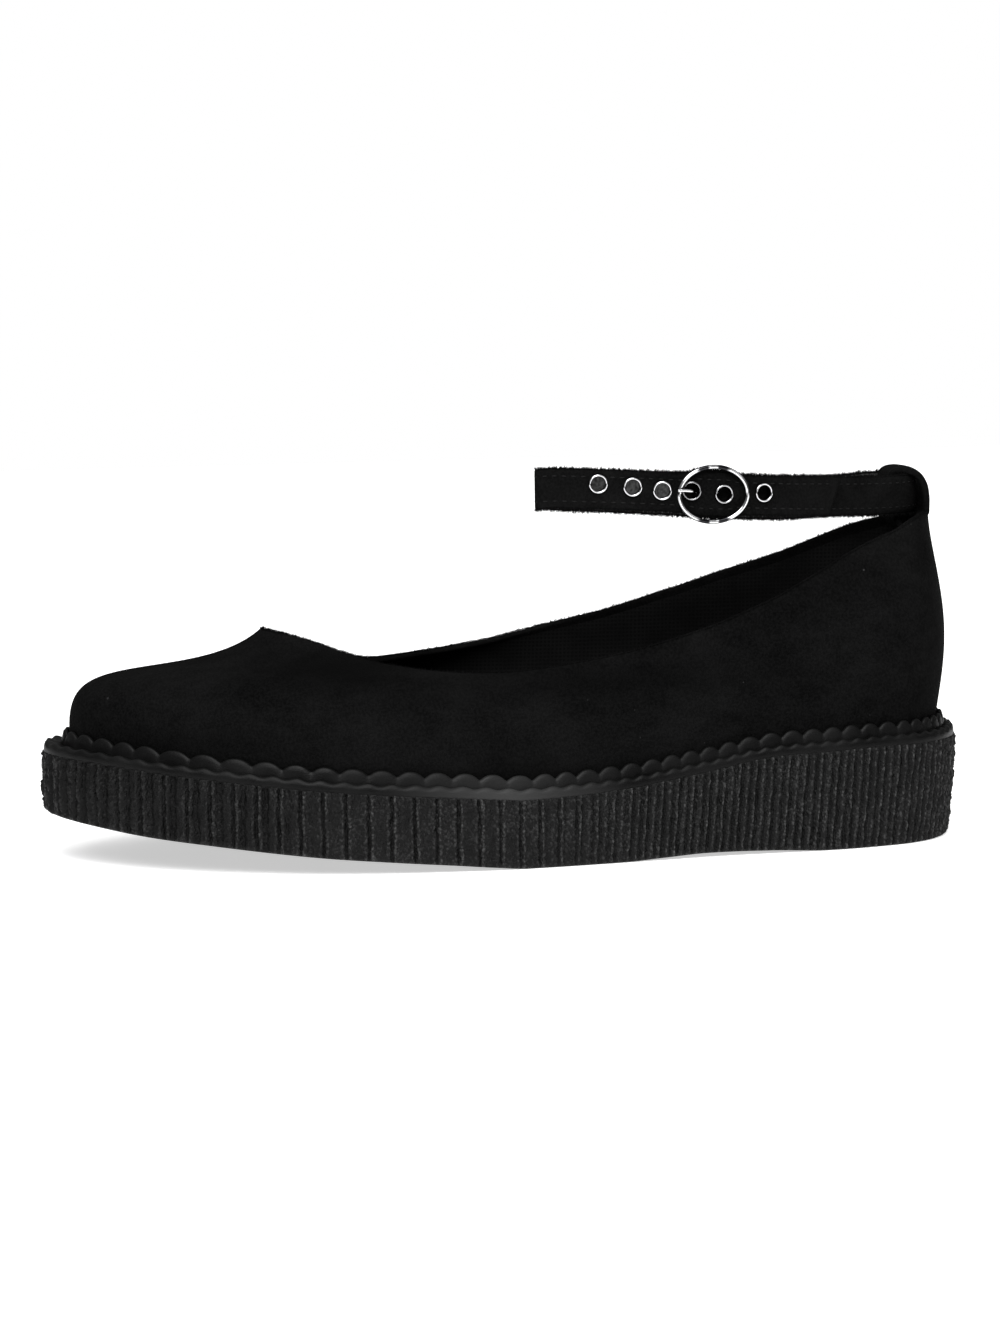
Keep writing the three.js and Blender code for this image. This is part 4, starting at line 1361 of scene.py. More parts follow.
        # The grooves open towards the toe on both sides of the shoe
        turned = recipe.math("MULTIPLY", recipe.read("ribs"), recipe.read("mirror"))
        away = recipe.math("MULTIPLY", turned, -1.0)
        heel = recipe.read("heel")
        fore = recipe.math("SUBTRACT", 1.0, heel)
        placed = recipe.math("ADD", away, given["Line place"])
        phase = recipe.math("FRACT", recipe.math("ADD", placed, wander))
        toe = recipe.read("toe")
        groove = recipe.math("MULTIPLY", recipe.hill(phase, self.fore_groove), fore)
        grooves = (self.heel_groove, heel), (self.second_groove, heel), (self.toe_groove, toe)
        for hill, where in grooves:
            hollow = recipe.math("MULTIPLY", recipe.hill(phase, hill), where)
            groove = recipe.math("MULTIPLY_ADD", hollow, hill.weight, groove)
        pebbles = recipe.noise(given["Pebble size"], 3.0)
        grain = recipe.step(pebbles, self.pebble_low, self.pebble_high)
        line = recipe.hill(phase, self.ridge)
        lip = recipe.math("MULTIPLY", recipe.hill(phase, self.fore_lip), fore)
        half_way = recipe.math("ABSOLUTE", recipe.math("SUBTRACT", phase, 0.5))
        second = recipe.step(half_way, self.second_start, self.second_full)
        second = recipe.math("MULTIPLY", second, heel)
        ridge = recipe.math("MULTIPLY_ADD", lip, self.fore_lip.weight, line)
        ridge = recipe.math("MULTIPLY_ADD", second, self.second_weight, ridge)
        calm = recipe.math("SUBTRACT", 1.0, recipe.math("MULTIPLY", heel, self.heel_calm))
        ridge = recipe.math("MULTIPLY", ridge, calm)
        plain = 1 - self.grain_weight
        rough = recipe.math("MULTIPLY_ADD", grain, self.grain_weight, plain)
        ridge = recipe.math("MULTIPLY", ridge, rough)
        depth = recipe.math("MULTIPLY", groove, given["Groove depth"])
        lift = recipe.math("MULTIPLY", ridge, given["Ridge height"])
        rough = recipe.math("MULTIPLY", recipe.math("SUBTRACT", grain, 0.5), given["Pebble height"])
        total = recipe.math("SUBTRACT", recipe.math("ADD", lift, rough), depth)
        total = recipe.math("MULTIPLY", total, recipe.read("relief"))
        moved = recipe.moved(recipe.aimed(recipe.math("MULTIPLY", total, MM)))
        # The ridges are kept for a painted highlight and the grooves for painted shade
        ridge_highlight = recipe.stored(moved, "ridge_highlight", ridge)
        recipe.finish(piece, recipe.stored(ridge_highlight, "sunk", groove))


@dataclass
class RimBand:
    """Smooth rubber band on the platform's rim, its top edge waved with the ribs."""

    last: Last
    finish: Material
    pitch_fore: float = 6.8
    pitch_heel: float = 4.7
    cuts_per_wave: int = 8
    inset: float = 0.7
    thickness: float = 2.4
    height: float = 3.0
    wave: float = 0.7
    trough: float = 0.12
    welt_thickness: float = 1.4
    welt_foot: float = 0.9
    pressed: float = 0.9  # share of its height that the band keeps under the upper
    groove: float = 0.5  # how far the band's top falls towards the welt

    def build(self) -> None:
        """Makes the band."""
        pattern = Pattern(self.last, self.pitch_fore, self.pitch_heel)
        turn, count = pattern.columns(self.cuts_per_wave)
        low_edge = self.height - self.wave
        # Section from the foot's outside over the rounded crest to the foot's inside
        section = table(
            BandRow,
            (0.6, -1.1, 0.0),
            (-0.2, -1.0, 0.0),
            (-0.45, -0.6, 0.0),
            (-0.5, 0.2, 0.0),
            (-0.45, 1.0, 0.0),
            (-0.25, 1.7, 0.5),
            (0.12, low_edge - 0.3, 0.85),
            (0.4, low_edge, 1.0),
            (0.9, low_edge + 0.05, 1.0),
            (self.thickness - 0.5, low_edge - 0.1, 0.9),
            (self.thickness, low_edge - 0.35, 0.6),
        )
        welt = self.last.shelf(self.last.turn_share(turn)) - self.welt_thickness - self.welt_foot
        insets = [self.inset + row.inward + 0 * turn for row in section] + [welt - 0.1, welt]
        heights = [row.up for row in section] + [low_edge - self.groove, 0.0]
        crests = [row.crest for row in section] + [0.3, 0.0]
        rings = [
            self.last.above_sole(turn, inward, up * self.pressed)
            for inward, up in zip(insets, heights)
        ]
        shape = len(rings), len(turn)
        piece = make_mesh("smooth_rim_band", np.array(rings), grid_faces(*shape, True, True))
        put_attribute(piece, "waves", np.broadcast_to(count - self.trough, shape))
        put_attribute(piece, "crest", np.broadcast_to(np.array(crests)[:, None], shape))
        recipe = GeometryRecipe("rim_wave", {"Wave": self.wave, "Finish": self.finish})
        given = recipe.source.outputs
        phase = recipe.math("FRACT", recipe.math("ADD", recipe.read("waves"), 1.0))
        hump = recipe.hill(phase, Hill(0.0, 0.5, 0.5, 1.0))
        lift = recipe.math("MULTIPLY", recipe.math("MULTIPLY", hump, given["Wave"]), MM)
        lift = recipe.math("MULTIPLY", lift, recipe.read("crest"))
        offset = recipe.add("ShaderNodeCombineXYZ", {"Z": lift})
        recipe.finish(piece, recipe.moved(offset.outputs[0]))
        hand_over(piece, "rim_rubber", "rim_band")


@dataclass
class WeltStrip:
    """Scalloped rubber strip that stands between the rim band and the upper."""

    last: Last
    finish: Material
    pitch_fore: float = 8.3
    pitch_heel: float = 6.0
    cuts_per_scallop: int = 14
    thickness: float = 1.4
    height: float = 6.2
    dip: float = 1.8
    bulge: float = 0.1
    roundness: float = 2.2  # a scallop's curve: 2 is a parabola, more is squarer
    foot: float = 0.9  # how much thicker the strip is at its foot

    def build(self) -> None:
        """Makes the strip."""
        pattern = Pattern(self.last, self.pitch_fore, self.pitch_heel)
        turn, count = pattern.columns(self.cuts_per_scallop)
        at = self.last.turn_share(turn)
        shelf = self.last.shelf(at) - CLEARANCE
        count = count + self.last.side(turn) * SmoothColumn(SCALLOP_SHIFT, "at", "shift")(at)
        low_edge = self.height - self.dip
        # Section from the foot's outside over the rounded edge to the foot's inside
        top, foot = self.thickness, self.foot
        section = table(
            BandRow,
            (-top - foot, 0.0, 0.0, 0.0),
            (-top - foot * 0.9, 1.6, 0.0, 0.0),
            (-top - foot * 0.6, 2.6, 0.2, 0.5),
            (-top - foot * 0.3, 3.4, 0.55, 1.0),
            (0.05 - top, low_edge - 0.3, 0.9, 0.9),
            (0.35 - top, low_edge - 0.05, 1.0, 0.5),
            (0.75 - top, low_edge, 1.0, 0.2),
            (-0.3, low_edge - 0.1, 1.0, 0.0),
            (0.0, low_edge - 0.5, 0.9, 0.0),
            (0.0, 0.0, 0.0, 0.0),
        )
        rings = [self.last.above_sole(turn, shelf + row.inward, row.up) for row in section]
        shape = len(rings), len(turn)
        piece = make_mesh("scalloped_welt", np.array(rings), grid_faces(*shape, True, True))
        outward = np.zeros((*shape, 3))
        outward[..., :2] = self.last.outward(turn)
        put_attribute(piece, "scallops", np.broadcast_to(count, shape))
        for name in ("crest", "swell"):
            shares = read_column(section, name)[:, None]
            put_attribute(piece, name, np.broadcast_to(shares, shape))
        put_attribute(piece, "outward", outward)
        self.cut_scallops(piece)
        hand_over(piece, "rim_rubber", "welt_strip")

    def cut_scallops(self, piece: Piece) -> None:
        """Raises each scallop and lets it bulge outwards.

        Args:
            piece: the strip.
        """
        recipe = GeometryRecipe(
            "scallops", {"Dip": self.dip, "Bulge": self.bulge, "Finish": self.finish}
        )
        given = recipe.source.outputs
        phase = recipe.math("FRACT", recipe.math("ADD", recipe.read("scallops"), 2.0))
        away = recipe.math("ABSOLUTE", recipe.math("MULTIPLY_ADD", phase, 2.0, -1.0))
        hump = recipe.math("SUBTRACT", 1.0, recipe.math("POWER", away, self.roundness))
        lift = recipe.math("MULTIPLY", recipe.math("MULTIPLY", hump, given["Dip"]), MM)
        lift = recipe.math("MULTIPLY", lift, recipe.read("crest"))
        swell = recipe.math("MULTIPLY", recipe.math("MULTIPLY", hump, given["Bulge"]), MM)
        swell = recipe.math("MULTIPLY", swell, recipe.read("swell"))
        up = recipe.add("ShaderNodeCombineXYZ", {"Z": lift}).outputs[0]
        inputs = {0: up, 1: recipe.aimed(swell)}
        both = recipe.add("ShaderNodeVectorMath", inputs, operation="ADD")
        recipe.finish(piece, recipe.moved(both.outputs[0]))


# Upper


@dataclass
class Upper:
    """Suede upper with its folded edge, its back seam and its cloth lining."""

    last: Last
    suede: Material
    lining: Material
    wall: float = 1.8
    welt_height: float = 6.2
    throat_at: float = 0.236
    throat_join: float = 0.7
    back_lean: float = 0.028
    back_join: float = 0.8
    columns: int = 340
    rows: int = 44
    foot_rows: int = 4
    edge_steps: int = 8
    edge_lift: float = 0.8  # height of the rounded edge over half the wall's thickness
    nap_points: int = 700
    nap_lift: float = 0.35
    seam_columns: int = 24
    seam_turn: float = 0.1
    seam_groove: float = 0.35
    seam_ridge: float = 0.3
    seam_ridge_at: float = 1.3
    seam_ridge_reach: float = 0.9
    seam_groove_reach: float = 0.35
    seam_fade: float = 0.3
    pad_height: float = 2.2  # how far the padded edge rises behind the heel
    pad_start_inner: float = 0.945
    pad_start_outer: float = 0.925
    pad_full: float = 0.985
    swell_weights: tuple[float, float, float] = (0.4, 1.0, 0.0)
    flat_spots: tuple[ShadeSpot, ...] = (
        ShadeSpot(-52.0, 57.0, 20.0, 5.0, 0.8),
        ShadeSpot(25.0, 52.0, 45.0, 5.0, 0.5),
        ShadeSpot(-95.0, 36.0, 30.0, 6.0, 0.4),
        ShadeSpot(20.0, 27.0, 120.0, 4.0, 0.35),
    )

    def __post_init__(self) -> None:
        """Makes the smooth curves of the tables."""
        self.open_half = SmoothColumn(COLLAR_PLAN, "along", "half", round_ends)
        self.outer = SmoothColumn(COLLAR_HEIGHT, "at", "outer")
        self.inner = SmoothColumn(COLLAR_HEIGHT, "at", "inner")
        columns = [name for name in SectionRow._fields if name != "at"]
        self.section = {name: SmoothColumn(UPPER_SECTIONS, "at", name) for name in columns}

    def collar(self, turn: np.ndarray) -> np.ndarray:
        """Sets out the collar's bare edge.

        Args:
            turn: turns of the sections that run to it.

        Returns:
            Its points.
        """
        at = self.last.turn_share(turn)
        side = self.last.side(turn)
        lead = np.maximum(0, 1 - at / self.throat_join)
        lean = np.maximum(0, (at - self.back_join) / (1 - self.back_join))
        own = at + self.throat_at * lead**2 - self.back_lean * lean**2
        along = (own - self.throat_at) / (1 - self.back_lean - self.throat_at)
        y = BALL_WIDTH * (self.last.centre(own) + side * self.open_half(along)) + MIDDLE_LINE
        height = COUNTER_HEIGHT * np.where(side > 0, self.inner(own), self.outer(own))
        return np.stack([self.last.x_at(own), y, self.last.top(own) + height], axis=-1)

    def outside(self, turn: np.ndarray, t: np.ndarray) -> np.ndarray:
        """Sets out the outer surface.

        Args:
            turn: turns of the columns.
            t: shares of the way up from the welt to the collar.

        Returns:
            The grid of its points.
        """
        at = self.last.turn_share(turn)
        foot = self.last.above_sole(turn, self.last.shelf(at), self.welt_height)
        collar = self.collar(turn)
        start = np.where(self.last.side(turn) > 0, self.pad_start_inner, self.pad_start_outer)
        collar[:, 2] += self.pad_height * ease(at, start, self.pad_full)
        rise = (collar - foot)[:, 2]
        outward = self.last.outward(turn)
        controls = [foot]
        for k in (1, 2, 3):
            point = foot + (collar - foot) * self.section[f"in{k}"](at)[:, None]
            point[:, 2] = foot[:, 2] + rise * self.section[f"up{k}"](at)
            swell = self.section["swell"](at) * self.swell_weights[k - 1] * rise
            point[:, :2] += outward * swell[:, None]
            controls.append(point)
        controls.append(collar)
        s = 1 - t
        weights = [s**4, 4 * s**3 * t, 6 * s**2 * t**2, 4 * s * t**3, t**4]
        return sum(w[:, None, None] * point[None] for w, point in zip(weights, controls))

    def normals(self, grid: np.ndarray) -> np.ndarray:
        """Returns the outward directions of a grid that closes round the shoe."""
        around = np.roll(grid, -1, axis=1) - np.roll(grid, 1, axis=1)
        return unit(np.cross(around, np.gradient(grid, axis=0)))

    def build(self) -> None:
        """Makes the upper."""
        even = full_circle(self.columns)
        fine = np.linspace(-self.seam_turn, self.seam_turn, 2 * self.seam_columns + 1)
        even = even[(even > self.seam_turn) & (even < FULL_TURN - self.seam_turn)]
        turn = np.concatenate([fine[fine >= 0], even, fine[fine < 0] + FULL_TURN])
        grid = self.outside(turn, np.linspace(0, 1, self.rows))
        shelf = self.last.shelf(self.last.turn_share(turn))
        foot = self.last.above_sole(turn, shelf, 0.0)
        steps = np.linspace(0, 1, self.foot_rows + 1)[:-1, None, None]
        grid = np.concatenate([foot[None] + (grid[:1] - foot[None]) * steps, grid])
        normal = self.normals(grid)
        normal[0, :, 2] = 0
        normal[0] = unit(normal[0])
        inside = grid - normal * self.wall

        # The back seam: two rubbed ridges beside a sunk line
        reach = np.abs(np.where(turn > math.pi, turn - FULL_TURN, turn))
        across = np.abs(grid[..., 1] - MIDDLE_LINE)
        seam = self.seam_ridge * bump(across, self.seam_ridge_at, self.seam_ridge_reach)
        seam -= self.seam_groove * bump(across, 0, self.seam_groove_reach)
        fade = ease(1 - reach / self.seam_turn, 0, self.seam_fade)
        grid = grid + normal * (seam * fade)[..., None]

        # The rounded edge between the outside and the lining
        top_out, top_in = grid[-1], inside[-1]
        middle = (top_out + top_in) / 2
        up = unit(grid[-1] - grid[-2])
        half = (top_out - top_in) / 2
        round_edge = []
        for angle in np.linspace(0, math.pi, self.edge_steps)[1:-1]:
            lift = self.wall / 2 * math.sin(angle) * self.edge_lift
            round_edge.append(middle + half * math.cos(angle) + up * lift)
        rings = np.concatenate([grid, np.array(round_edge), inside[::-1]])
        faces = grid_faces(len(rings), len(turn), True, True)
        piece = make_mesh("suede_upper", rings, faces, self.suede, self.lining)
        folded = len(grid) + len(round_edge) + 2
        slots = (faces[:, 0] // len(turn) >= folded).astype(np.int32)
        piece.data.polygons.foreach_set("material_index", slots)
        # Painted shade: soft darker spots, stored on the points for the suede
        flat = np.zeros(rings.shape[:2])
        for spot in self.flat_spots:
            away = (rings[..., 0] - spot.x) / spot.reach, (rings[..., 2] - spot.z) / spot.tall
            flat += spot.depth * np.exp(-(away[0] ** 2) - away[1] ** 2)
        put_attribute(piece, "spot_shade", np.clip(flat, 0, 1))
        hand_over(piece, "suede", "upper")

    def edge_line(self) -> tuple[np.ndarray, np.ndarray]:
        """Sets out the collar's edge for its nap.

        Returns:
            The edge and the directions in which the nap stands out.
        """
        turn = full_circle(self.nap_points)
        grid = self.outside(turn, np.linspace(0, 1, self.rows))
        up = unit(grid[-1] - grid[-2])
        return grid[-1] + up * self.nap_lift, up


@dataclass
class Footbed:
    """Cloth-covered insole with a bevelled edge."""

    last: Last
    finish: Material
    wall: float = 1.8
    thickness: float = 2.5
    columns: int = 200
    edge: float = 0.6

    def build(self) -> None:
        """Makes the insole."""
        turn = full_circle(self.columns)
        inset = self.last.shelf(self.last.turn_share(turn)) + self.wall + CLEARANCE
        section = ((0, 0), (0, self.thickness - self.edge), (self.edge, self.thickness))
        rings = [self.last.above_sole(turn, inset + inward, up) for inward, up in section]
        piece = make_mesh("cloth_insole", np.array(rings), stacked_faces(rings), self.finish)
        hand_over(piece, "lining", "insole")


@dataclass
class HeelLoop:
    """Pull loop of doubled suede on the heel, which the strap runs through."""

    back: np.ndarray
    finish: Material
    width: float = 14.0
    thickness: float = 1.8
    depth: float = 13.0
    height: float = 16.0
    overhang: float = 0.5
    heel_radius: float = 20.0
    samples: int = 1200
    steps: int = 150
    edge: float = 0.45
    face_points: int = 15
    waist: float = 0.65
    waist_drop: float = 0.09

    def build(self) -> None:
        """Makes the loop."""
        rear = self.back[0] + self.overhang - self.thickness / 2
        forward = rear - read_column(LOOP_ROUTE, "forward") * self.depth
        up = self.back[2] + read_column(LOOP_ROUTE, "up") * self.height
        route = np.stack([forward, 0 * up, up], axis=1)
        line = even_lengths(catmull_rom(route, self.samples), self.steps)
        along = unit(np.gradient(line, axis=0))
        outwards = np.stack([along[:, 2], 0 * along[:, 0], -along[:, 0]], axis=1)
        section = flat_section(
            self.thickness / 2,
            self.width / 2,
            self.edge,
            self.face_points,
            self.waist,
            self.waist_drop,
        )
        rings = []
        for out, y in section:
            bulge = -(y**2) / (2 * self.heel_radius)
            rings.append(line + outwards * out + np.array([bulge, y + MIDDLE_LINE, 0]))
        points = np.array(rings).transpose(1, 0, 2)
        faces = capped_faces(self.steps, len(section))
        piece = make_mesh("suede_heel_loop", points, faces, self.finish)
        hand_over(piece, "suede", "heel_loop")


# Ankle strap and its hardware


@dataclass
class StrapPath:
    """Middle line of the ankle strap."""

    back: np.ndarray
    width: float = 11.4
    thickness: float = 1.6
    reach: float = 118.9
    swing: float = 35.0
    rise: float = 6.6
    above_collar: float = 2.3
    loop_overhang: float = 0.5
    loop_thickness: float = 1.8
    loop_play: float = 2.0
    front_part: float = 0.4
    samples: int = 6000
    buckle_at: float = 0.569
    swell: float = 0.95  # how far the layers spread at each edge inside the ring
    swell_reach: float = 8.0

    def __post_init__(self) -> None:
        """Sets out the line."""
        inside = self.back[0] + self.loop_overhang - self.loop_thickness - self.loop_play
        self.back_x = inside - self.thickness / 2
        self.middle = self.back[2] + self.above_collar + self.width / 2
        ahead = self.back_x - read_column(STRAP_ROUTE, "reach") * self.reach
        across = MIDDLE_LINE - read_column(STRAP_ROUTE, "swing") * self.swing
        up = self.middle + read_column(STRAP_ROUTE, "rise") * self.rise
        base = np.stack([ahead, across, up], axis=1)
        layer = read_column(STRAP_ROUTE, "layer")
        along = np.vstack([base[1] - base[0], base[2:] - base[:-2], base[-1] - base[-2]])
        along[:, 2] = 0
        along = unit(along)
        out = np.stack([-along[:, 1], along[:, 0], 0 * along[:, 0]], axis=1)
        out[(layer > 0) & (out[:, 1] > 0)] *= -1
        stepped = base + out * (layer * (self.thickness + CLEARANCE))[:, None]
        self.line = catmull_rom(stepped, self.samples)

    def widening(self, line: np.ndarray) -> np.ndarray:
        """Returns how many times as wide the strap is along a line, for the layers at the ring."""
        away = np.linalg.norm(line - np.array(self.frame(self.buckle_at).translation), axis=1)
        return 1 + ease(away, self.swell_reach, self.swell_reach / 2) * 2 * self.swell / self.width

    def frame(self, share: float, up: float = 0.0) -> Matrix:
        """Returns the place on the strap's outer layer at a share of the reach.

        Args:
            share: share of the reach from the heel loop.
            up: share of the width above the middle.

        Returns:
            Matrix whose X runs along the strap to the heel, Y up and Z outwards, in millimetres.
        """
        x = self.back_x - share * self.reach
        front = self.line[: int(self.samples * self.front_part)]
        i = int(np.argmax(front[:, 0] <= x))
        along = front[i + 1] - front[i - 1]
        along[2] = 0
        along = -unit(along)
        outside = np.array([along[1], -along[0], 0.0])
        origin = front[i] + np.array([0, 0, up * self.width])
        columns = np.eye(4)
        columns[:3, 0] = along
        columns[:3, 1] = (0, 0, 1)
        columns[:3, 2] = outside
        columns[:3, 3] = origin
        return Matrix(columns.tolist())


@dataclass
class AnkleStrap:
    """Flat suede strap with its eyelet holes, its cut tip and its rows of stitches."""

    path: StrapPath
    suede: Material
    thread: Material
    back_leather: Material
    steps: int = 560
    back_faces: int = 8  # faces across the strap on the side of the foot
    face_points: int = 9
    waist: float = 0.6
    waist_drop: float = 0.12
    ragged: float = 0.09
    ragged_from: float = 0.9
    seed: int = 5
    tip_slant: float = 4.6  # how much further the tip's top reaches than its bottom
    tip_length: float = 12.0
    edge: float = 0.5
    hole_radius: float = 2.6
    hole_sides: int = 32
    stitch_pitch: float = 2.8
    stitch_length: float = 1.5
    stitch_width: float = 0.35
    stitch_inset: float = 2.1
    stitch_lift: float = 0.02
    stitch_start: int = 6
    stitch_fold: float = 0.3  # shares of the strap between which it bears no stitches
    stitch_return: float = 0.66
    stitch_end: int = 4
    nap_points: int = 1500
    nap_inset: float = 0.1
    nap_side: float = 0.35
    tip_points: int = 24
    tip_side: float = 0.4

    def build(self) -> None:
        """Makes the strap and its stitches."""
        line = even_lengths(self.path.line, self.steps)
        half, level = self.path.thickness / 2, self.path.width / 2
        section = flat_section(
            -half, level, self.edge, self.face_points, self.waist, self.waist_drop
        )
        points = np.array([self.offset(line, side, z) for side, z in section])
        count = len(section)
        level_share = np.array([z for _, z in section]) / level
        rough = np.random.default_rng(self.seed).normal(0, self.ragged, (count, self.steps))
        points[:, :, 2] += rough * (np.abs(level_share) > self.ragged_from)[:, None]
        points = points.transpose(1, 0, 2)
        faces = [face[::-1] for face in capped_faces(self.steps, count)]
        strap = make_mesh("suede_ankle_strap", points, faces, self.suede, self.back_leather)
        backs = np.zeros(len(faces), np.int32)
        across = np.arange((self.steps - 1) * count) % count
        backs[: len(across)] = across < self.back_faces
        strap.data.polygons.foreach_set("material_index", backs)
        self.punch(strap)
        hand_over(strap, "suede", "ankle_strap")
        self.stitch(line)

    def offset(self, line: np.ndarray, side: float, z: float) -> np.ndarray:
        """Moves the strap's line and cuts its first end on the slant.

        Args:
            line: the strap's middle line.
            side: how far sideways.
            z: how far up.

        Returns:
            The moved line.
        """
        along = np.gradient(line, axis=0)
        along[:, 2] = 0
        along = unit(along)
        across = np.stack([-along[:, 1], along[:, 0], 0 * along[:, 0]], axis=1)
        length = np.arange(len(line)) * np.linalg.norm(line[1] - line[0])
        slant = self.tip_slant * (z / self.path.width + 0.5)
        shift = -slant * np.clip(1 - length / self.tip_length, 0, 1)
        level = np.zeros_like(line)
        level[:, 2] = z * self.path.widening(line)
        return line + across * side + along * shift[:, None] + level

    def punch(self, strap: Piece) -> None:
        """Cuts the eyelet holes.

        Args:
            strap: the strap.
        """
        ring = full_circle(self.hole_sides)
        reach = self.path.thickness
        circle = [np.cos(ring) * self.hole_radius, np.sin(ring) * self.hole_radius]
        ends = [np.stack([*circle, np.full_like(ring, z)], axis=1) for z in (-reach, reach)]
        faces = capped_faces(2, self.hole_sides)
        for row in EYELETS:
            points = place(np.array(ends), self.path.frame(row.at, row.up))
            drill = make_mesh("drill", points, faces)
            cut = strap.modifiers.new("hole", "BOOLEAN")
            cut.operation = "DIFFERENCE"
            cut.object = drill
            settle(strap)
            bpy.data.objects.remove(drill)
        strap.data.shade_smooth()

    def stitch(self, line: np.ndarray) -> None:
        """Sews the two rows that hold the strap's layers together.

        Args:
            line: the strap's middle line.
        """
        side = self.path.thickness / 2 + self.stitch_lift
        rows = []
        for level in (1, -1):
            row = self.offset(line, side, level * (self.path.width / 2 - self.stitch_inset))
            rows.append(row[self.stitch_start : int(self.steps * self.stitch_fold)])
            rows.append(row[int(self.steps * self.stitch_return) : -self.stitch_end])
        edges = make_lines("strap_stitches", rows)
        sew(edges, self.thread, self.stitch_pitch, self.stitch_length, self.stitch_width)
        hand_over(edges, "suede")

    def edge_lines(self) -> list[tuple[np.ndarray, np.ndarray]]:
        """Sets out the strap's edges for their nap.

        Returns:
            Each edge and the directions in which its nap stands out.
        """
        line = even_lengths(self.path.line, self.nap_points)
        lines = []
        for level in (1, -1):
            z = level * (self.path.width / 2 - self.nap_inset)
            for side in (-self.nap_side, self.nap_side):
                edge = self.offset(line, side * self.path.thickness, z)
                lines.append((edge, np.broadcast_to([0.0, 0.0, level], edge.shape)))
        levels = np.linspace(-0.5, 0.5, self.tip_points) * self.path.width
        side = self.tip_side * self.path.thickness
        tip = np.array([self.offset(line, side, z)[0] for z in levels])
        ahead = unit(line[:1] - line[4:5])
        lines.append((tip, np.broadcast_to(ahead, tip.shape)))
        return lines


def place(points: np.ndarray, frame: Matrix) -> np.ndarray:
    """Returns points moved from a frame's own axes to the shoe's."""
    turn = np.array(frame.to_3x3())
    return points @ turn.T + np.array(frame.translation)


def make_lines(
    name: str, lines: Sequence[np.ndarray], outward: Sequence[np.ndarray] | None = None
) -> Piece:
    """Makes an object of bare lines.

    Args:
        name: its name.
        lines: points of each line in millimetres.
        outward: the direction away from the piece at each point.

    Returns:
        The object, linked to the scene.
    """
    points = np.concatenate(lines)
    edges = []
    first = 0
    for line in lines:
        edges += [(first + k, first + k + 1) for k in range(len(line) - 1)]
        first += len(line)
    mesh = bpy.data.meshes.new(name)
    mesh.from_pydata((points * MM).tolist(), edges, [])
    piece = show(name, mesh)
    if outward is not None:
        put_attribute(piece, "outward", np.concatenate(outward))
    return piece


def sew(lines: Piece, thread: Material, pitch: float, length: float, width: float) -> None:
    """Lays stitches along lines.

    Args:
        lines: bare lines that become the stitches.
        thread: their finish.
        pitch: from one stitch to the next.
        length: of a stitch.
        width: of the thread.
    """
    sizes = {"Pitch": pitch * MM, "Length": length * MM, "Width": width * MM}
    recipe = GeometryRecipe("stitches", {**sizes, "Finish": thread})
    given = recipe.source.outputs
    stitch = recipe.add("GeometryNodeMeshUVSphere", {"Segments": 6, "Rings": 5, "Radius": 0.5})
    tangent = recipe.add("GeometryNodeInputTangent", {}).outputs[0]
    turn = recipe.add("FunctionNodeAlignRotationToVector", {"Vector": tangent}, axis="X")
    size = {"X": given["Length"], "Y": given["Width"], "Z": given["Width"]}
    recipe.finish(lines, recipe.laid(stitch.outputs[0], turn.outputs[0], size))


@dataclass(frozen=True)
class Nap:
    """Short loose fibres along a cut edge, in millimetres."""

    pitch: float
    length: float
    seed: int
    width: float = 0.34
    sway: tuple[float, float, float] = (0.9, 0.9, 0.5)
    shortest: float = 0.15  # share of the length before it is squared

    def grow(self, lines: Piece, finish: Material) -> None:
        """Grows the fibres.

        Args:
            lines: bare lines with their outward directions, which become the fibres.
            finish: the fibres' finish.
        """
        sizes = {"Pitch": self.pitch * MM, "Length": self.length * MM, "Width": self.width * MM}
        recipe = GeometryRecipe("nap_fibres", {**sizes, "Finish": finish})
        given = recipe.source.outputs
        inputs = {"Vertices": 3, "Radius Bottom": 0.5, "Depth": 1.0}
        fibre = recipe.add("GeometryNodeMeshCone", inputs)
        sway = recipe.add(
            "FunctionNodeRandomValue",
            {0: tuple(-most for most in self.sway), 1: self.sway, "Seed": self.seed},
            data_type="FLOAT_VECTOR",
        )
        outward = recipe.read("outward", "FLOAT_VECTOR")
        inputs = {0: outward, 1: sway.outputs[0]}
        lean = recipe.add("ShaderNodeVectorMath", inputs, operation="ADD").outputs[0]
        turn = recipe.add("FunctionNodeAlignRotationToVector", {"Vector": lean}, axis="Z")
        inputs = {2: self.shortest, 3: 1.0, "Seed": self.seed + 1}
        grown = recipe.add("FunctionNodeRandomValue", inputs)
        long = recipe.math("MULTIPLY", grown.outputs[1], grown.outputs[1])
        long = recipe.math("MULTIPLY", long, given["Length"])
        size = {"X": given["Width"], "Y": given["Width"], "Z": long}
        recipe.finish(lines, recipe.laid(fibre.outputs[0], turn.outputs[0], size))


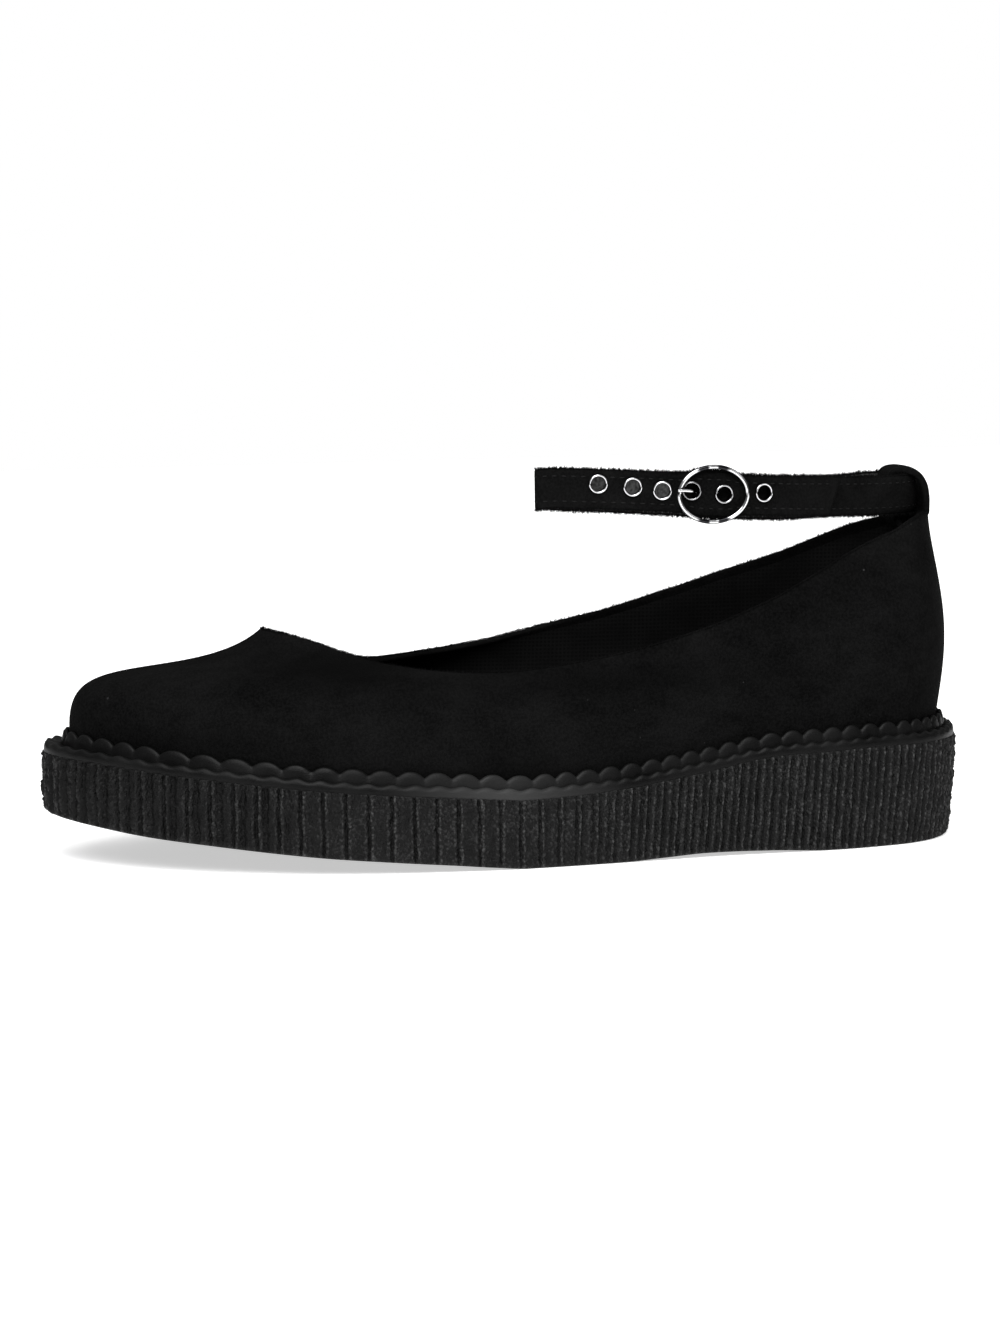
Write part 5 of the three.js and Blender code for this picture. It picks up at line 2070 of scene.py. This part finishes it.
@dataclass
class Hardware:
    """Chrome eyelets, ring buckle with its bar, and prong."""

    path: StrapPath
    chrome: Material
    bore: float = 2.05
    flange: float = 2.85
    barrel_wall: float = 0.3
    head: float = 0.6
    head_steps: int = 11
    sides: int = 56
    length: float = 21.5
    height: float = 17.1
    wire: float = 1.3
    bar: float = 1.0
    prong: float = 1.0
    prong_lean: float = 0.6
    prong_climb: float = 1.5  # how far the prong rises from the bar to the ring
    rubbed_half: float = 1.3  # half the length of the painted highlights over the bar's ends
    rubbed_fade: float = 0.2
    cloud_start: float = 0.78  # painted dark reflection on the ring's top and bottom
    cloud_full: float = 0.88
    crest_start: float = 0.6
    crest_full: float = 0.92
    prong_eyelet: int = 3
    wire_sides: int = 16
    oval_points: int = 240
    wire_samples: int = 400
    wire_points: int = 60

    def __post_init__(self) -> None:
        """Works out how far the wires stand from the middle of the strap's outer layer."""
        face = self.path.thickness / 2 + CLEARANCE
        self.ring_level = face + self.wire / 2
        self.bar_level = -(face + self.bar / 2)

    def build(self) -> None:
        """Makes all metal pieces."""
        for number, row in enumerate(EYELETS, 1):
            self.eyelet(number, row)
        self.ring()
        self.pin()

    def lathe(self, name: str, profile: Sequence[tuple[float, float]], frame: Matrix) -> Piece:
        """Turns a closed profile round an axis.

        Args:
            name: the piece's name.
            profile: radii and heights.
            frame: its place; the axis is Z.

        Returns:
            The piece.
        """
        around = full_circle(self.sides)
        radius = np.array([p[0] for p in profile])[:, None]
        level = np.array([p[1] for p in profile])[:, None]
        grid = np.stack(
            [radius * np.cos(around), radius * np.sin(around), level + 0 * around], axis=-1
        )
        faces = grid_faces(len(profile), len(around), True, True)
        return make_mesh(name, place(grid, frame), faces, self.chrome)

    def eyelet(self, number: int, row: EyeletRow) -> None:
        """Makes one eyelet: a barrel with a rolled head.

        Args:
            number: its number from the heel.
            row: its place.
        """
        face = self.path.thickness / 2 + CLEARANCE / 2
        middle = (self.bore + self.flange) / 2
        reach = (self.flange - self.bore) / 2
        back = -self.path.thickness / 2
        profile = [(self.bore, back), (self.bore + self.barrel_wall, back)]
        profile += [(self.bore + self.barrel_wall, face)]
        for angle in np.linspace(0, math.pi, self.head_steps):
            level = face + self.head * math.sin(angle)
            profile.append((middle + reach * math.cos(angle), level))
        frame = self.path.frame(row.at, row.up)
        piece = self.lathe(f"chrome_eyelet_{number}", profile, frame)
        self.plate(piece, frame, row.clouded, f"eyelet_{number}")

    def plate(self, piece: Piece, frame: Matrix, extra: float | np.ndarray, node: str) -> None:
        """Ends a metal piece: its faces look outwards, and its sides get a painted dark reflection.

        Args:
            piece: the metal piece.
            frame: its place on the strap; its Z axis looks outwards.
            extra: further painted dark reflection of each point.
            node: the solid that it replaces.
        """
        shape = bmesh.new()
        shape.from_mesh(piece.data)
        bmesh.ops.recalc_face_normals(shape, faces=shape.faces)
        shape.to_mesh(piece.data)
        shape.free()
        normals = np.zeros(len(piece.data.vertices) * 3)
        piece.data.vertices.foreach_get("normal", normals)
        facing = normals.reshape(-1, 3) @ np.array(frame.col[2])[:3]
        sides = 1 - ease(facing, self.crest_start, self.crest_full)
        put_attribute(piece, "clouded", np.maximum(sides, extra))
        hand_over(piece, "chrome", node)

    def swept(
        self, line: np.ndarray, diameter: float, closed: bool
    ) -> tuple[np.ndarray, list[list[int]]]:
        """Sweeps a round wire along a line that lies about in one plane.

        Args:
            line: the wire's middle line.
            diameter: the wire's.
            closed: whether the line closes on itself.

        Returns:
            Points and faces.
        """
        sides = self.wire_sides
        if closed:
            along = unit(np.roll(line, -1, axis=0) - np.roll(line, 1, axis=0))
        else:
            along = unit(np.gradient(line, axis=0))
        square = np.linalg.svd(line - line.mean(axis=0))[2][2]  # the plane's own direction
        side = unit(np.cross(along, square))
        up = np.cross(side, along)
        rings = []
        for angle in full_circle(sides):
            rings.append(line + (side * math.cos(angle) + up * math.sin(angle)) * diameter / 2)
        points = np.array(rings).transpose(1, 0, 2)
        faces = grid_faces(len(line), sides, closed, True).tolist()
        if not closed:
            tips = [line[0] - along[0] * diameter / 4, line[-1] + along[-1] * diameter / 4]
            points = np.concatenate([points.reshape(-1, 3), tips])
            last = (len(line) - 1) * sides
            for k in range(sides):
                beside = (k + 1) % sides
                faces.append([beside, k, len(points) - 2])
                faces.append([last + k, last + beside, len(points) - 1])
        return points.reshape(-1, 3), faces

    def bent(self, route: np.ndarray) -> np.ndarray:
        """Returns the smooth middle line of a bent wire."""
        return even_lengths(catmull_rom(route, self.wire_samples), self.wire_points)

    def ring(self) -> None:
        """Makes the oval ring and the bar behind the strap's outer layer as one piece."""
        frame = self.path.frame(self.path.buckle_at)
        across, tall = (self.length - self.wire) / 2, (self.height - self.wire) / 2
        angle = full_circle(self.oval_points)
        oval = np.stack(
            [across * np.cos(angle), tall * np.sin(angle), np.full_like(angle, self.ring_level)],
            axis=1,
        )
        leg = self.path.width / 2 + self.path.swell + CLEARANCE + self.bar / 2
        half_way = (self.ring_level + self.bar_level) / 2
        staple = np.array([
            [0, tall - self.bar / 4, self.ring_level - self.bar / 2],
            [0, leg, half_way],
            [0, leg - self.bar / 2, self.bar_level],
            [0, 0, self.bar_level],
            [0, -leg + self.bar / 2, self.bar_level],
            [0, -leg, half_way],
            [0, -tall + self.bar / 4, self.ring_level - self.bar / 2],
        ])
        ring_points, ring_faces = self.swept(oval, self.wire, True)
        bar_points, bar_faces = self.swept(self.bent(staple), self.bar, False)
        faces = [*ring_faces, *([len(ring_points) + k for k in face] for face in bar_faces)]
        flat = np.concatenate([ring_points, bar_points])
        steep = np.abs(flat[:, 1]) / np.maximum(np.hypot(flat[:, 0], flat[:, 1]), self.wire)
        clouded = ease(steep, self.cloud_start, self.cloud_full)
        # Painted highlights: the dark reflection is left out over the bar's ends
        start, end = self.rubbed_half - self.rubbed_fade, self.rubbed_half + self.rubbed_fade
        clouded *= ease(np.abs(flat[:, 0]), start, end)
        piece = make_mesh("chrome_ring_buckle", place(flat, frame), faces, self.chrome)
        self.plate(piece, frame, clouded, "buckle_ring")

    def pin(self) -> None:
        """Makes the prong that comes out through an eyelet and lies over the ring."""
        to_eyelet = (EYELETS[self.prong_eyelet].at - self.path.buckle_at) * self.path.reach
        rim = (self.length - self.wire) / 2
        over = self.ring_level + self.wire / 2 + CLEARANCE + self.prong / 2
        start = self.bar / 2 + CLEARANCE + self.prong / 2
        lean, climb = self.prong_lean, self.prong_climb
        route = np.array([
            [-start, 0, self.bar_level - CLEARANCE],
            [-to_eyelet + 2 * lean, climb * 0.5, self.bar_level - CLEARANCE],
            [-to_eyelet + lean, climb * 0.6, self.bar_level / 2],
            [-to_eyelet - lean, climb * 0.8, over - lean],
            [-rim + self.wire, climb, over],
            [-rim - self.wire / 2, climb, over],
        ])
        points, faces = self.swept(self.bent(route), self.prong, False)
        frame = self.path.frame(self.path.buckle_at)
        piece = make_mesh("chrome_prong", place(points, frame), faces, self.chrome)
        self.plate(piece, frame, 0.0, "buckle_prong")


# Studio


@dataclass
class Studio:
    """White paper floor, soft lights and the camera."""

    paper: Material
    floor_width: float = 1500.0
    floor_front: float = 1000.0
    floor_back: float = 1500.0
    elevation: float = 7.0
    yaw: float = 8.0
    roll: float = 0.85
    distance: float = 1300.0
    target: tuple[float, float, float] = (-0.9, -1.1, 53.1)
    sensor: float = 36.0
    frame_width: int = 1000
    ceiling: float = 2.3
    ceiling_spread: float = 50.0
    ceiling_aim: tuple[float, float, float] = (0.25, 0.75, -1.0)
    mm_per_pixel: float = 0.295
    sky_start: float = 0.05  # heights in the sky, as shares of straight up, and its strengths
    sky_end: float = 0.9
    sky_dim: float = 0.03
    sky_bright: float = 0.6
    boxes: tuple[SoftBox, ...] = (
        SoftBox("key_box", (-0.2, -1.2, 1.2), 0.6, 9.0),
        SoftBox("fill_box", (1.0, -0.9, 0.7), 0.5, 0.5),
    )

    def build(self) -> None:
        """Makes the whole studio."""
        self.floor()
        self.lights()
        self.camera()

    def floor(self) -> None:
        """Lays the paper."""
        half, front, back = self.floor_width / 2, -self.floor_front, self.floor_back
        corners = np.array([[-half, front, 0], [half, front, 0], [half, back, 0], [-half, back, 0]])
        make_mesh("paper_floor", corners, [[0, 1, 2, 3]], self.paper)

    def lights(self) -> None:
        """Lights the sky softly and adds the soft boxes and the even light from above."""
        world = bpy.data.worlds.new("studio_sky")
        world.use_nodes = True
        tree = world.node_tree
        tree.nodes.clear()
        place = add_node(tree, "ShaderNodeTexCoord", {}).outputs["Generated"]
        split = add_node(tree, "ShaderNodeSeparateXYZ", {0: place})
        inputs = {0: split.outputs[2], 1: self.sky_start, 2: self.sky_end}
        inputs |= {3: self.sky_dim, 4: self.sky_bright}
        height = add_node(tree, "ShaderNodeMapRange", inputs).outputs[0]
        white = (1.0, 1.0, 1.0, 1.0)
        soft = add_node(tree, "ShaderNodeBackground", {"Strength": height, "Color": white})
        plain = add_node(tree, "ShaderNodeBackground", {"Strength": 1.0, "Color": white})
        seen = add_node(tree, "ShaderNodeLightPath", {}).outputs["Is Camera Ray"]
        inputs = {0: seen, 1: soft.outputs[0], 2: plain.outputs[0]}
        mix = add_node(tree, "ShaderNodeMixShader", inputs)
        add_node(tree, "ShaderNodeOutputWorld", {"Surface": mix.outputs[0]})
        bpy.context.scene.world = world
        bpy.context.scene.view_settings.view_transform = "Standard"
        for box in self.boxes:
            lamp = bpy.data.lights.new(box.name, "AREA")
            lamp.size = box.size
            lamp.energy = box.power
            light = show(box.name, lamp)
            light.location = box.spot
            self.aim(light, Vector(self.target) * MM - Vector(box.spot))
        sun = bpy.data.lights.new("ceiling_light", "SUN")
        sun.energy = self.ceiling
        sun.angle = math.radians(self.ceiling_spread)
        self.aim(show("ceiling_light", sun), Vector(self.ceiling_aim))

    def aim(self, light: Piece, towards: Vector) -> None:
        """Points a light in a direction."""
        light.rotation_euler = towards.to_track_quat("-Z", "Y").to_euler()

    def camera(self) -> None:
        """Sets the camera at the photograph's angle."""
        elevation, yaw = math.radians(self.elevation), math.radians(self.yaw)
        roll = math.radians(self.roll)
        flat = math.cos(elevation)
        look = Vector((math.sin(yaw) * flat, math.cos(yaw) * flat, -math.sin(elevation)))
        right = Vector((math.cos(yaw), -math.sin(yaw), 0))
        up = right.cross(look)
        side = right * math.cos(roll) - up * math.sin(roll)
        top = right * math.sin(roll) + up * math.cos(roll)
        spot = (Vector(self.target) - look * self.distance) * MM
        eye = bpy.data.cameras.new("camera")
        eye.sensor_fit = "HORIZONTAL"
        eye.sensor_width = self.sensor
        eye.lens = self.sensor * self.distance / self.mm_per_pixel / self.frame_width
        eye.clip_start, eye.clip_end = 0.01, 100
        camera = show("camera", eye)
        columns = Matrix((side, top, -look)).transposed().to_4x4()
        camera.matrix_world = Matrix.Translation(spot) @ columns
        bpy.context.scene.camera = camera


@dataclass
class Shoe:
    """The whole shoe, piece by piece."""

    last: Last = field(default_factory=Last)
    strap_nap: Nap = Nap(0.1, 1.5, 3)
    collar_nap: Nap = Nap(0.11, 1.4, 7)

    def build(self) -> None:
        """Makes and dresses all pieces."""
        suede = Suede().material()
        lining = LiningCloth().material()
        band = SmoothRubber().material()
        welt = SmoothRubber("satin_welt_rubber", rubbed="#222222").material()
        back_leather = SplitBack().material()
        chrome = ChromePlate().material()
        thread = SewingThread().material()
        Platform(self.last, PebbledRubber().material()).build()
        RimBand(self.last, band).build()
        WeltStrip(self.last, welt).build()
        upper = Upper(self.last, suede, lining)
        upper.build()
        Footbed(self.last, lining).build()
        back = upper.collar(np.array([0.0]))[0]
        HeelLoop(back, suede).build()
        path = StrapPath(back)
        strap = AnkleStrap(path, suede, thread, back_leather)
        strap.build()
        Hardware(path, chrome).build()
        self.fray(upper, strap, suede)

    def fray(self, upper: Upper, strap: AnkleStrap, suede: Material) -> None:
        """Grows the loose nap along the cut edges.

        Args:
            upper: the upper.
            strap: the ankle strap.
            suede: their finish.
        """
        for name, lines, nap in (
            ("strap_edge_nap", strap.edge_lines(), self.strap_nap),
            ("collar_edge_nap", [upper.edge_line()], self.collar_nap),
        ):
            edges, outward = zip(*lines)
            fringe = make_lines(name, edges, outward)
            nap.grow(fringe, suede)
            hand_over(fringe, "suede")


def main() -> None:
    """Loads the frame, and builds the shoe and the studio."""
    logging.basicConfig(level=logging.INFO, format="%(name)s: %(message)s")
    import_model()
    Shoe().build()
    Studio(StudioPaper().material()).build()


if __name__ == "__main__":
    main()
